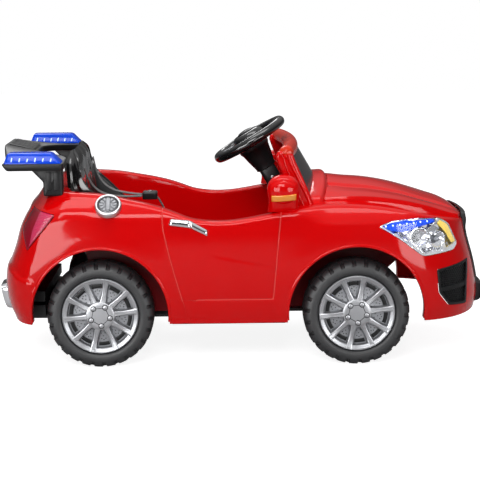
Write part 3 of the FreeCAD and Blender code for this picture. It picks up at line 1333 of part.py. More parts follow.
def make_pedal():
    """Foot pedal, hinged at its lower rear edge on a pin of its own."""
    x, z = pedal_pivot()
    half = PEDAL_WIDTH / 2
    plate = box(0, PEDAL_LENGTH, -half, half, -PEDAL_THICKNESS / 2, PEDAL_THICKNESS / 2)
    treads = []
    for share in PEDAL_RIB_SHARES:
        at = PEDAL_LENGTH * share
        treads.append(
            box(at - RIB_WIDTH / 2, at + RIB_WIDTH / 2, -half, half, 0, PEDAL_THICKNESS / 2 + LAMP_WALL),
        )
    pedal = fuse([plate, rod_y(0, 0, PEDAL_PIN * PEDAL_HUB_SHARE, -half, half)] + treads)
    pedal.rotate(V(0, 0, 0), V(0, 1, 0), -PEDAL_PITCH_DEG)
    pedal = pedal.fuse(rod_y(0, 0, PEDAL_PIN, -half - END_GAP - PEDAL_EAR, half + END_GAP + PEDAL_EAR))
    pedal.translate(V(x, -PEDAL_SIDE, z))
    return pedal


def dash_normal():
    """Direction out of the dash face towards the driver."""
    face = side_points(DASH_SHARES)
    run = V(face[3][0] - face[4][0], 0, face[3][1] - face[4][1])
    run.normalize()
    return V(run.z, 0, -run.x)


def dash_point(z_share):
    """Point on the dash face at a height."""
    face = side_points(DASH_SHARES)
    (x0, z0), (x1, z1) = face[4], face[3]
    z = at_z(z_share)
    return V(x0 + (x1 - x0) * (z - z0) / (z1 - z0), 0, z)


def make_dash():
    dash = prism_y(side_points(DASH_SHARES), -BODY_WIDTH, BODY_WIDTH)
    dash = dash.common(body_at(-WALL - SEAM))
    axis = rod(WHEEL_CENTRE, SHAFT_END, COVER_TUBE_RADIUS + SEAM)
    out = dash_normal()
    point = dash_point(BUTTON_HEIGHT_SHARE) + V(0, BUTTON_SIDE, 0)
    well = rod(point - out * OVERRUN, point + out * OVERRUN, BUTTON_RADIUS + BUTTON_GAP)
    pivot = lever_pivot()
    half = LEVER_RADIUS + END_GAP
    slot = box(
        pivot.x - OVERRUN, pivot.x + OVERRUN, LEVER_SIDE - half, LEVER_SIDE + half,
        pivot.z - LEVER_SLOT / 2, pivot.z + LEVER_SLOT / 2,
    )
    pegs = []
    for side in (-1, 1):
        low = LEVER_SIDE + side * (LEVER_BALL + END_GAP + PEDAL_EAR / 2)
        peg = box(
            dash_point(LEVER_HEIGHT_SHARE).x, pivot.x + LEVER_BALL, low - PEDAL_EAR / 2,
            low + PEDAL_EAR / 2,
            pivot.z - LEVER_BALL, pivot.z + LEVER_BALL,
        )
        pegs.append(peg)
    dash = fuse([dash] + pegs)
    pin = rod_y(pivot.x, pivot.z, PEDAL_PIN + RUNNING_GAP, 0, BODY_WIDTH)
    pin = pin.common(box(0, LENGTH, LEVER_SIDE - OVERRUN, LEVER_SIDE + OVERRUN, 0, LENGTH))
    dash = dash.cut([axis, well, slot, pin])
    return max(dash.Solids, key=lambda solid: solid.Volume)


def lever_pivot():
    point = dash_point(LEVER_HEIGHT_SHARE)
    return V(point.x + DASH_PANEL + LEVER_BALL + SEAM, LEVER_SIDE, point.z)


def make_lever():
    """Direction lever: a ball hub on a cross pin, a rod and a knob towards the driver."""
    pivot = lever_pivot()
    end = pivot - V(LEVER_REACH, 0, 0)
    hub = rod_y(pivot.x, pivot.z, LEVER_BALL, LEVER_SIDE - LEVER_BALL, LEVER_SIDE + LEVER_BALL)
    pin = rod_y(
        pivot.x, pivot.z, PEDAL_PIN, LEVER_SIDE - LEVER_BALL - PEDAL_EAR,
        LEVER_SIDE + LEVER_BALL + PEDAL_EAR,
    )
    stick = rod(pivot, end, LEVER_RADIUS)
    knob = Part.makeSphere(LEVER_KNOB, end, V(1, 0, 0))
    return fuse([hub, pin, stick, knob])


def make_button():
    out = dash_normal()
    point = dash_point(BUTTON_HEIGHT_SHARE) + V(0, BUTTON_SIDE, 0)
    return rod(point - out * (BUTTON_DEPTH - BUTTON_PROUD), point + out * BUTTON_PROUD, BUTTON_RADIUS)


def make_battery():
    x = at_x(SKIRT_SHARE) - SEAT_SKIRT - BATTERY_GAP - BATTERY_LENGTH
    case = box(
        x, x + BATTERY_LENGTH, -BATTERY_WIDTH / 2, BATTERY_WIDTH / 2, PAN_TOP,
        PAN_TOP + BATTERY_HEIGHT - BATTERY_STEP,
    )
    lid = box(
        x + BATTERY_STEP, x + BATTERY_LENGTH - BATTERY_STEP, -BATTERY_WIDTH / 2 + BATTERY_STEP,
        BATTERY_WIDTH / 2 - BATTERY_STEP,
        PAN_TOP, PAN_TOP + BATTERY_HEIGHT,
    )
    tabs = []
    for side in (-1, 1):
        y = side * (BATTERY_WIDTH / 2 - TERMINAL_SIZE * 2)
        tabs.append(box(
            x + BATTERY_LENGTH / 2, x + BATTERY_LENGTH / 2 + TERMINAL_SIZE, y - TERMINAL_SIZE / 2,
            y + TERMINAL_SIZE / 2,
            PAN_TOP, PAN_TOP + BATTERY_HEIGHT + BATTERY_STEP,
        ))
    return fuse([case, lid] + tabs)


def make_screws():
    """Screws up through the pan into the shell, their heads sunk flush with the underside."""
    screws = []
    seat_z = PAN_BOTTOM + SCREW_HEAD_DEPTH
    for x, y in screw_places():
        shank = rod(V(x, y, seat_z), V(x, y, SILL_CLEARANCE + WALL), SCREW_RADIUS)
        head = rod(V(x, y, PAN_BOTTOM), V(x, y, seat_z), SCREW_HEAD)
        screws.append(fuse([shank, head]))
    return screws


NODES = {}
NODES["body_shell"] = make_body()
NODES["wheel_liners"] = make_liners()
NODES["hood_panel"] = make_hood()
NODES["windshield_frame"] = make_windshield_frame()
NODES["windshield_panel"] = make_glass(0)
NODES["front_grille"] = make_grille()
NODES["nose_guard"] = layer(prism_x(front_points(GUARD_SHARES), 0, LENGTH), GUARD_DEPTH, SKIN_GAP)
intake = make_intake()
bowl, lens, strip = make_headlight()
tail = layer(lamp_tools(TAILLIGHT_SHARES, SEAM, at_y(TAIL_INNER_SHARE)), 0, -LAMP_DEPTH / 2)
handle = layer(prism_y(side_points(HANDLE_SHARES), 0, BODY_WIDTH), HANDLE_RISE, SKIN_GAP)
mirror, indicator = make_mirror()
frame, pod_lens = make_light_bar()
for name, shape in (
    ("bumper_intake", intake), ("headlight_bowl", bowl), ("headlight_lens", lens), ("taillight", tail),
    ("door_handle", handle), ("side_mirror", mirror), ("light_pod_lens", pod_lens),
):
    NODES[name + "_left"] = shape
    NODES[name + "_right"] = flip(shape)
NODES["headlight_strips"] = both(strip)
NODES["mirror_indicators"] = both(indicator)
NODES["light_bar_frame"] = frame
NODES["rear_trim"] = layer(prism_x(front_points(TRIM_SHARES), -LENGTH, 0), TRIM_DEPTH, SKIN_GAP)
NODES["exhaust_tips"] = make_exhausts()
NODES["fuel_cap"] = make_fuel_cap()
NODES["seat"] = make_seat()
NODES["harness_straps"], NODES["harness_buckle"] = make_harness()
wheel, pad, shaft, cover = make_steering()
NODES["steering_wheel"] = wheel
NODES["horn_button"] = pad
NODES["steering_shaft"] = shaft
NODES["column_cover"] = cover
NODES["dashboard"] = make_dash()
NODES["tie_rod"] = make_tie_rod()
NODES["front_axle_beam"] = make_beam()
knuckle, nut = make_knuckle()
NODES["knuckle_left"] = [knuckle, nut]
NODES["knuckle_right"] = [flip(knuckle), flip(nut)]
rolling = make_wheel()
hubcap = make_hubcap()
for end, x in (("rear", REAR_X), ("front", FRONT_X)):
    for side_name, side in (("left", 1), ("right", -1)):
        NODES[end + "_wheel_" + side_name] = place_wheel(rolling, x, side)
        NODES[end + "_hubcap_" + side_name] = place_wheel(hubcap, x, side)
axle = rod_y(REAR_X, AXLE_Z, AXLE_RADIUS, -WHEEL_Y - AXLE_END, WHEEL_Y + AXLE_END)
NODES["rear_axle"] = [axle] + both(make_nut(REAR_X))
housing, drive_gear, idler_gear, pinion, motor = make_drive()
NODES["gearbox_housing"] = housing
NODES["drive_gear"] = drive_gear
NODES["idler_gear"] = idler_gear
NODES["motor_pinion"] = pinion
NODES["drive_motor"] = motor
NODES["floor_pan"] = make_pan()
NODES["battery"] = make_battery()
NODES["foot_pedal"] = make_pedal()
NODES["shift_lever"] = make_lever()
NODES["power_button"] = make_button()
NODES["floor_screws"] = make_screws()

os.makedirs("parts", exist_ok=True)
for name, shape in NODES.items():
    solid = Part.makeCompound(shape) if isinstance(shape, list) else shape
    solid.exportStep("parts/" + name + ".step")
    bounds = solid.BoundBox
    low = [round(value) for value in (bounds.XMin, bounds.YMin, bounds.ZMin)]
    high = [round(value) for value in (bounds.XMax, bounds.YMax, bounds.ZMax)]
    print(name, len(solid.Solids), solid.isValid(), round(solid.Volume / 1000), "cm3", low, high)
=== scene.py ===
# %% [markdown]
# # A child's ride-on car, piece by piece
# The car is a thin moulded shell on four plastic wheels, with a bucket seat, a steered front axle and a
# light bar behind the seat. The frame brings the exact solids and their joints. This lesson dresses them:
# every piece that shows is worked out again as a smooth surface, and gets a finish with some life in it.

# %% The frame
import bpy
import bmesh
import numpy as np
from mathutils import Matrix


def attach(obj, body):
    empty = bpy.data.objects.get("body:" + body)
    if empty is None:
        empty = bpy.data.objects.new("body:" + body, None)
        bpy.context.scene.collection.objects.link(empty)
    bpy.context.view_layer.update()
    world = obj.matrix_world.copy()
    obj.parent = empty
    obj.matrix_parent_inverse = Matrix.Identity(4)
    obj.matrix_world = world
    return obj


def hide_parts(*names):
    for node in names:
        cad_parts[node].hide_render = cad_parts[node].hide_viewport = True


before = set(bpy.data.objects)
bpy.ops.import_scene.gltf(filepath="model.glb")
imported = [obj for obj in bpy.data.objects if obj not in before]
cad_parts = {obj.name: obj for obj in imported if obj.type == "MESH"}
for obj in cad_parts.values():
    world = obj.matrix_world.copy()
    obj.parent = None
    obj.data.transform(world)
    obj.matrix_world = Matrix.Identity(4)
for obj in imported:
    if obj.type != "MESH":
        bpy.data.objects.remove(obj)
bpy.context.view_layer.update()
MM = 0.001

# %% [markdown]
# ## Surfaces as arrays
# A moulded part could be pushed into shape by hand, but then nothing says why it looks as it does. Here a
# surface is an array of points, one row per step along it and one column per step across, so a formula on
# whole arrays shapes it at once. Lengths are in millimetres until the mesh is made. A part is a pair:
# points and faces.

# %% Grids, joins and mirror images
def grid(points, wrap_u=False, wrap_v=False):
    """Points (nu, nv, 3) and their quads: each cell joins four neighbours, and wrapping joins last to
    first."""
    nu, nv = points.shape[:2]
    ids = np.arange(nu * nv).reshape(nu, nv)
    ids = np.vstack([ids, ids[:1]]) if wrap_u else ids
    ids = np.hstack([ids, ids[:, :1]]) if wrap_v else ids
    quads = np.stack([ids[:-1, :-1], ids[1:, :-1], ids[1:, 1:], ids[:-1, 1:]], axis=-1)
    return points.reshape(-1, 3), quads.reshape(-1, 4).tolist()


def join(*parts):
    """One part from several: the points are stacked and the faces count on from the part before."""
    starts = np.cumsum([0] + [len(p[0]) for p in parts[:-1]])
    faces = [[i + int(start) for i in face] for start, part in zip(starts, parts) for face in part[1]]
    return np.vstack([p[0] for p in parts]), faces


def mirrored(part):
    """The same part on the other side of the car: y changes sign and the faces turn round."""
    return part[0] * (1, -1, 1), [face[::-1] for face in part[1]]


HANDS = (("left", lambda part: part), ("right", mirrored))


def both_sides(part):
    """The part and its mirror image as one part."""
    return join(part, mirrored(part))


def moved(part, shift):
    """The part with the same shift added to every point."""
    return part[0] + np.asarray(shift, float), part[1]


def turned(part, axis, degrees, centre=(0, 0, 0)):
    """The part turned about an axis through a centre, by the right-hand rule."""
    spin = np.array(Matrix.Rotation(np.radians(degrees), 3, axis))
    return (part[0] - centre) @ spin.T + centre, part[1]


def capped(rings):
    """Closed rings (k, n, 3) joined in order, with a flat face over the first and the last."""
    points, quads = grid(rings, wrap_v=True)
    n, last = rings.shape[1], len(points) - rings.shape[1]
    return points, quads + [list(range(n))[::-1], list(range(last, last + n))]


def smooth_curve(x, xs, ys):
    """A cubic through the points (xs, ys) whose slope at each point is that of its neighbours."""
    xs, ys = np.asarray(xs, float), np.asarray(ys, float)
    slope = np.gradient(ys, xs)
    i = np.clip(np.searchsorted(xs, x) - 1, 0, len(xs) - 2)
    h = xs[i + 1] - xs[i]
    t = np.clip((x - xs[i]) / h, 0, 1)
    return ((1 + 2 * t) * (1 - t) ** 2 * ys[i] + t * (1 - t) ** 2 * h * slope[i]
            + t * t * (3 - 2 * t) * ys[i + 1] + t * t * (t - 1) * h * slope[i + 1])


def step_up(x, low, high):
    """0 below low, 1 above high, and an even S between them."""
    t = np.clip((x - low) / (high - low), 0, 1)
    return t * t * (3 - 2 * t)


def curve_through(points, count):
    """Points spaced evenly by chord along a smooth curve through the given ones, in any number of
    dimensions."""
    points = np.asarray(points, float)
    along = np.concatenate([[0], np.cumsum(np.linalg.norm(np.diff(points, axis=0), axis=1))])
    t = np.linspace(0, along[-1], count)
    return np.stack([smooth_curve(t, along, points[:, k]) for k in range(points.shape[1])], axis=1)


print("grid, join, mirror and curve helpers ready")

# %% Outlines with rounded corners
def rounded(corners, radius, per_corner=6):
    """A closed outline whose corners are cut back by radius and bridged by a parabola through three
    points."""
    p = np.asarray(corners, float)
    into, out = np.roll(p, 1, 0) - p, np.roll(p, -1, 0) - p
    la, lb = np.linalg.norm(into, axis=1), np.linalg.norm(out, axis=1)
    cut = np.minimum(radius, 0.48 * np.minimum(la, lb))[:, None]
    a, b = p + into / la[:, None] * cut, p + out / lb[:, None] * cut
    t = np.linspace(0, 1, per_corner)[None, :, None]
    arc = a[:, None] * (1 - t) ** 2 + p[:, None] * 2 * t * (1 - t) + b[:, None] * t ** 2
    return arc.reshape(-1, 2)


def shrunk(outline, depth):
    """Every point of an outline moved inwards by depth, along the mean of its two edges' normals."""
    edge = np.roll(outline, -1, 0) - outline
    edge = edge / np.maximum(np.linalg.norm(edge, axis=1), 1e-9)[:, None]
    area = np.sum(outline[:, 0] * np.roll(outline[:, 1], -1) - np.roll(outline[:, 0], -1) * outline[:, 1])
    normal = np.stack([-edge[:, 1], edge[:, 0]], 1) * np.sign(area)
    mean = normal + np.roll(normal, 1, 0)
    mean = mean / np.maximum(np.linalg.norm(mean, axis=1), 1e-9)[:, None]
    return outline + mean * depth


def block(outline, low, high, bevel=2.0, steps=4, plane="xz", taper=0.0):
    """A plate drawn out from an outline: rings that shrink round both edges on a quarter circle of size
    bevel. The plane names the outline's two axes; the plate rises along the third, and taper shrinks
    its top."""
    turn = np.linspace(0, np.pi / 2, steps)
    drop, rise = bevel * (1 - np.sin(turn)), bevel * (1 - np.cos(turn))
    sign = np.sign(high - low)
    levels = np.concatenate([low + sign * rise, (high - sign * rise)[::-1]])
    inward = np.concatenate([drop, drop[::-1] + taper])
    rings = [np.c_[shrunk(outline, d), np.full(len(outline), z)] for d, z in zip(inward, levels)]
    order = {"xz": (0, 2, 1), "xy": (0, 1, 2), "yz": (2, 0, 1)}[plane]
    return capped(np.array(rings)[:, :, order])


def along(path, profile, up=(0, 0, 1), scale=None):
    """A closed profile (n, 2) carried along a path: its first axis lies across the path, its second along
    up."""
    path = np.asarray(path, float)
    run = np.gradient(path, axis=0)
    run = run / np.linalg.norm(run, axis=1)[:, None]
    side = np.cross(np.broadcast_to(np.asarray(up, float), run.shape), run)
    side = side / np.linalg.norm(side, axis=1)[:, None]
    top = np.cross(run, side)
    size = np.ones(len(path)) if scale is None else np.asarray(scale, float)
    flat = profile[None] * size[:, None, None]
    return capped(path[:, None] + flat[..., :1] * side[:, None] + flat[..., 1:] * top[:, None])


def circle(radius, count):
    """Points of a circle, one per equal step of the turn."""
    turn = np.arange(count) * 2 * np.pi / count
    return np.c_[radius * np.cos(turn), radius * np.sin(turn)]


def spun(profile, count, axis="y", closed=False):
    """A profile of (radius, height) turned once round an axis; a closed profile makes a ring."""
    profile = np.asarray(profile, float)
    turn = np.arange(count)[:, None] * 2 * np.pi / count
    r, h = profile[None, :, 0], profile[None, :, 1]
    a, b, c = r * np.cos(turn), r * np.sin(turn), np.broadcast_to(h, (count, len(profile)))
    points = np.stack({"y": (a, c, b), "z": (a, b, c), "x": (c, a, b)}[axis], axis=-1)
    return grid(points, wrap_u=True, wrap_v=closed)


print("outline, plate, sweep and spin helpers ready")

# %% Cutting and thickening sheets
def triangles(part):
    """Quads split along one diagonal, as an array."""
    quads = np.array([f for f in part[1] if len(f) == 4], int).reshape(-1, 4)
    rest = np.array([f for f in part[1] if len(f) == 3], int).reshape(-1, 3)
    return np.vstack([quads[:, [0, 1, 2]], quads[:, [0, 2, 3]], rest])


def clip(part, field):
    """The part of a sheet where field(points) > 0. A crossed edge gets one point where the field, taken as
    linear between its ends, is zero, so neighbours share it and the cut is clean."""
    points, tris = part[0], triangles(part)
    value = field(points)
    value = np.where(np.abs(value) < 1e-6, 1e-6, value)
    inside = value[tris] > 0
    pairs = np.sort(tris[:, [[0, 1], [1, 2], [2, 0]]].reshape(-1, 2), axis=1)
    cross = (value[pairs[:, 0]] > 0) != (value[pairs[:, 1]] > 0)
    edges, place = np.unique(pairs[cross], axis=0, return_inverse=True)
    t = value[edges[:, 0]] / (value[edges[:, 0]] - value[edges[:, 1]])
    fresh = points[edges[:, 0]] * (1 - t)[:, None] + points[edges[:, 1]] * t[:, None]
    index = np.full(len(pairs), -1)
    index[cross] = place.ravel() + len(points)
    index = index.reshape(-1, 3)
    count = inside.sum(1)
    one, two = np.flatnonzero(count == 1), np.flatnonzero(count == 2)
    k, m = inside[one].argmax(1), inside[two].argmin(1)
    tips = np.c_[tris[one, k], index[one, k], index[one, (k + 2) % 3]]
    b, c = tris[two, (m + 1) % 3], tris[two, (m + 2) % 3]
    first, last = index[two, m], index[two, (m + 2) % 3]
    kept = np.vstack([tris[count == 3], tips, np.c_[first, b, c], np.c_[first, c, last]])
    used, small = np.unique(kept, return_inverse=True)
    return np.vstack([points, fresh])[used], small.reshape(-1, 3).tolist()


def welded(part, size):
    """The part's triangles with points of one cell of that size made into one, and slivers left out."""
    cells = np.round(part[0] / size).astype(np.int64)
    first, again = np.unique(cells, axis=0, return_index=True, return_inverse=True)[1:]
    tris = again.ravel()[triangles(part)]
    live = (tris[:, 0] != tris[:, 1]) & (tris[:, 1] != tris[:, 2]) & (tris[:, 2] != tris[:, 0])
    return part[0][first], tris[live].tolist()


def normals_of(points, tris):
    """Each point's normal: the sum of its triangles' cross products, made one long."""
    cross = np.cross(points[tris[:, 1]] - points[tris[:, 0]], points[tris[:, 2]] - points[tris[:, 0]])
    total = np.stack([np.bincount(tris.ravel(), np.repeat(cross[:, k], 3), len(points))
                      for k in range(3)], 1)
    return total / np.maximum(np.linalg.norm(total, axis=1), 1e-12)[:, None]


def thick(part, depth):
    """A sheet closed into a wall: a copy moved back along the normals, and a band round every free edge."""
    points, tris = part[0], triangles(part)
    count = len(points)
    edges = tris[:, [[0, 1], [1, 2], [2, 0]]].reshape(-1, 2)
    place, times = np.unique(np.sort(edges, axis=1), axis=0, return_inverse=True, return_counts=True)[1:]
    free = edges[times[place.ravel()] == 1]
    back = points - normals_of(points, tris) * depth
    band = np.c_[free[:, 1], free[:, 0], free[:, 0] + count, free[:, 1] + count]
    return np.vstack([points, back]), tris.tolist() + (tris[:, ::-1] + count).tolist() + band.tolist()


def beyond(outline, axes=(0, 2)):
    """A field over two of the axes: the distance outside a closed outline, negative within it."""
    a, b = np.asarray(outline, float), np.roll(np.asarray(outline, float), -1, 0)

    def field(points):
        p = points[:, None, list(axes)]
        run = (b - a)[None]
        t = np.clip(np.sum((p - a[None]) * run, -1) / np.sum(run * run, -1), 0, 1)
        near = np.linalg.norm(p - a[None] - run * t[..., None], axis=-1).min(1)
        above = (a[None, :, 1] > p[..., 1]) != (b[None, :, 1] > p[..., 1])
        rise = np.where(np.abs(b[:, 1] - a[:, 1]) < 1e-9, 1e-9, b[:, 1] - a[:, 1])[None]
        reach = a[None, :, 0] + (p[..., 1] - a[None, :, 1]) * (b - a)[None, :, 0] / rise
        odd = (above & (p[..., 0] < reach)).sum(1) % 2
        return np.where(odd == 1, -near, near)
    return field


print("cutting and wall helpers ready")

# %% From arrays to a piece that rides on the car
def piece(name, part, finish, body="car", stands_for=(), sharp=32, weld=0.01):
    """Makes the mesh in metres, welds equal points, turns faces outwards, shades it and fastens it to a
    body."""
    mesh = bpy.data.meshes.new(name)
    mesh.from_pydata((part[0] * MM).tolist(), [], [list(map(int, face)) for face in part[1]])
    work = bmesh.new()
    work.from_mesh(mesh)
    bmesh.ops.remove_doubles(work, verts=work.verts, dist=weld * MM)
    bmesh.ops.recalc_face_normals(work, faces=work.faces)
    work.to_mesh(mesh)
    work.free()
    mesh.shade_smooth()
    mesh.set_sharp_from_angle(angle=np.radians(sharp))
    mesh.materials.append(finish)
    thing = bpy.data.objects.new(name, mesh)
    bpy.context.scene.collection.objects.link(thing)
    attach(thing, body)
    if stands_for:
        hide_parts(*stands_for)
    print(name, len(mesh.vertices), "points,", len(mesh.polygons), "faces, on", body)
    return thing


def mark(thing, name, field):
    """Stores a number per point, worked out from the points in millimetres, for a finish to read."""
    mesh = thing.data
    flat = np.empty(len(mesh.vertices) * 3, np.float32)
    mesh.vertices.foreach_get("co", flat)
    layer = mesh.attributes.new(name, "FLOAT", "POINT")
    layer.data.foreach_set("value", field(flat.reshape(-1, 3) / MM).astype(np.float32))


print("piece helper ready")

# %% [markdown]
# ## Finishes
# Moulded plastic is never one flat colour: the pigment clouds a little, the gloss changes where the mould
# was polished less, and a fine orange peel breaks the reflections. One recipe gives that to every plastic
# and metal: a slow cloud between two close tones, the same cloud on the roughness, and a fine grain as a
# bump. All of it reads Object coordinates, so it stays on the piece from every side.

# %% The recipe for moulded and metal finishes
def node(tree, kind, **values):
    """A shader node; each value is set on the node, or on its socket of that name."""
    made = tree.nodes.new(kind)
    for key, value in values.items():
        if hasattr(made, key):
            setattr(made, key, value)
        else:
            made.inputs[key].default_value = value
    return made


def finish(name, tone, cloud, rough, grain=600.0, depth=0.05, size=9.0, edge_wear_and_glint=0.0, **sockets):
    """Principled surface: tone to cloud by a slow noise, roughness over its two values by the same noise,
    and a fine noise as bump. edge_wear_and_glint lightens convex edges by that share, partly as wear and
    partly as a painted highlight where an edge catches light. Even values go on the shader itself."""
    made = bpy.data.materials.new(name)
    made.use_nodes = True
    tree = made.node_tree
    shader = tree.nodes["Principled BSDF"]
    for key, value in sockets.items():
        shader.inputs[key.replace("_", " ")].default_value = value
    place = node(tree, "ShaderNodeTexCoord")
    slow = node(tree, "ShaderNodeTexNoise", Scale=size, Detail=5.0, Roughness=0.6)
    fine = node(tree, "ShaderNodeTexNoise", Scale=grain, Detail=2.0)
    mix = node(tree, "ShaderNodeMix", data_type="RGBA")
    mix.inputs[6].default_value, mix.inputs[7].default_value = (*tone, 1), (*cloud, 1)
    spread = node(tree, "ShaderNodeMapRange")
    spread.inputs["From Min"].default_value, spread.inputs["From Max"].default_value = 0.3, 0.7
    spread.inputs["To Min"].default_value, spread.inputs["To Max"].default_value = rough
    bump = node(tree, "ShaderNodeBump", Strength=depth, Distance=0.001)
    link = tree.links.new
    link(place.outputs["Object"], slow.inputs["Vector"])
    link(place.outputs["Object"], fine.inputs["Vector"])
    link(slow.outputs["Fac"], mix.inputs[0])
    link(slow.outputs["Fac"], spread.inputs["Value"])
    link(fine.outputs["Fac"], bump.inputs["Height"])
    link(spread.outputs["Result"], shader.inputs["Roughness"])
    link(bump.outputs["Normal"], shader.inputs["Normal"])
    colour = mix.outputs[2]
    # Convex edges, found by pointiness, are lightened: part wear, part a painted highlight where edges catch
    # light.
    if edge_wear_and_glint:
        sharp = node(tree, "ShaderNodeNewGeometry")
        edge = node(tree, "ShaderNodeMapRange")
        edge.inputs["From Min"].default_value, edge.inputs["From Max"].default_value = 0.53, 0.62
        edge.inputs["To Max"].default_value = edge_wear_and_glint
        wear_and_glint = node(tree, "ShaderNodeMix", data_type="RGBA")
        wear_and_glint.inputs[7].default_value = (*[min(1.0, 0.25 + c * 1.2) for c in tone], 1)
        link(sharp.outputs["Pointiness"], edge.inputs["Value"])
        link(edge.outputs["Result"], wear_and_glint.inputs[0])
        link(colour, wear_and_glint.inputs[6])
        colour = wear_and_glint.outputs[2]
    link(colour, shader.inputs["Base Color"])
    return made


SHELL_RED = ((0.74, 0.0012, 0.0020), (0.68, 0.0009, 0.0016), (0.06, 0.12), 420, 0.010, 7)
SHELL_GLOSS = {"Coat_Weight": 0.06, "Coat_Roughness": 0.04, "Specular_IOR_Level": 0.20}
RED = finish("red_shell", *SHELL_RED, **SHELL_GLOSS)
# Painted highlight: a lighter, oranger copy of the frame's red for the rail's top, which catches the
# overhead light.
RED_LIT_TOP = finish("red_frame_lit_top", (0.72, 0.034, 0.009), (0.64, 0.025, 0.007), (0.16, 0.26), 420, 0.012, 9,
                  Coat_Weight=0.06, Specular_IOR_Level=0.24)
# Painted shade: the shell's red darkened for the wheel wells and the dashboard, which lie in shadow.
RED_IN_SHADE = finish("red_painted_shade", (0.20, 0.0006, 0.004), (0.15, 0.0005, 0.003), (0.35, 0.55), 500, 0.05, 12,
                  Specular_IOR_Level=0.14)
# The last number of the black and tyre finishes lightens their convex edges: wear plus a painted highlight.
BLACK = finish("black_satin", (0.007, 0.0072, 0.008), (0.012, 0.012, 0.013), (0.28, 0.44), 900, 0.08, 14,
               0.06, Specular_IOR_Level=0.22)
BLACK_GLOSS = finish("black_gloss", (0.0055, 0.0055, 0.006), (0.009, 0.009, 0.0095), (0.10, 0.20), 380,
                     0.02, 10, 0.04, Coat_Weight=0.35, Coat_Roughness=0.05)
CHARCOAL = finish("tyre_charcoal", (0.015, 0.0155, 0.017), (0.026, 0.0265, 0.029), (0.38, 0.58), 700,
                  0.14, 18, 0.12)
SILVER = finish("hub_silver", (0.31, 0.315, 0.33), (0.37, 0.375, 0.39), (0.28, 0.40), 1200, 0.03, 16,
                Metallic=0.75)
SILVER_DARK = finish("hub_disc", (0.21, 0.215, 0.23), (0.28, 0.285, 0.30), (0.38, 0.52), 900, 0.06, 20,
                     Metallic=0.6)
CHROME = finish("bright_chrome", (0.60, 0.61, 0.63), (0.67, 0.67, 0.69), (0.06, 0.14), 300, 0.01, 20,
                Metallic=1.0)
STEEL = finish("plain_steel", (0.50, 0.50, 0.51), (0.60, 0.60, 0.61), (0.28, 0.45), 1500, 0.08, 30,
               Metallic=1.0)
NYLON = finish("gear_nylon", (0.78, 0.77, 0.72), (0.84, 0.83, 0.79), (0.42, 0.55), 800, 0.04, 30)
CELL = finish("battery_case", (0.06, 0.062, 0.066), (0.085, 0.087, 0.09), (0.45, 0.6), 700, 0.10, 20)
AMBER = finish("amber_lens", (0.95, 0.30, 0.02), (0.95, 0.40, 0.05), (0.08, 0.16), 300, 0.02, 40,
               Coat_Weight=0.4)
YELLOW = finish("amber_corner", (0.95, 0.60, 0.05), (0.95, 0.72, 0.12), (0.08, 0.16), 300, 0.02, 60,
                Coat_Weight=0.4)
LAMP_RED = finish("tail_lens", (0.36, 0.003, 0.02), (0.26, 0.002, 0.015), (0.06, 0.14), 300, 0.02, 40,
                  Coat_Weight=0.1, Specular_IOR_Level=0.25)
LAMP_PINK = finish("tail_lens_ribbed", (0.72, 0.04, 0.13), (0.62, 0.02, 0.09), (0.10, 0.2), 300, 0.02, 40,
                   Coat_Weight=0.5)
BLUE = finish("blue_lens", (0.001, 0.050, 0.60), (0.002, 0.075, 0.80), (0.08, 0.16), 300, 0.015, 45,
              Coat_Weight=0.05, Specular_IOR_Level=0.18, Emission_Color=(0.0, 0.06, 0.6, 1),
              Emission_Strength=0.06)
SPARK = finish("led_mark", (0.62, 0.80, 1.0), (0.80, 0.92, 1.0), (0.15, 0.25), 300, 0.01, 90,
               Emission_Color=(0.55, 0.78, 1.0, 1), Emission_Strength=0.55)
SMOKED = finish("smoked_panel", (0.055, 0.058, 0.062), (0.075, 0.078, 0.082), (0.10, 0.2), 300, 0.015, 9,
                Transmission_Weight=0.25)
CLEAR = finish("clear_lens", (0.97, 0.98, 0.99), (0.94, 0.95, 0.97), (0.01, 0.04), 160, 0.01, 30,
               Transmission_Weight=1.0, IOR=1.25)
RED_BUTTON = finish("button_red", (0.45, 0.01, 0.015), (0.38, 0.01, 0.012), (0.2, 0.32), 600, 0.04, 30)
print(len(bpy.data.materials), "finishes")

# %% [markdown]
# The shell's seams are too fine to model as grooves on a five millimetre grid. The shell carries two
# numbers per point instead: the signed distance to each seam, plus on one side and minus on the other.
# Such a number runs evenly through zero, so the line drawn where it is near zero stays crisp between the
# points. The finish paints a highlight on that line, a pale red that stands for light caught on the
# seam's edge, and sinks it with a bump.

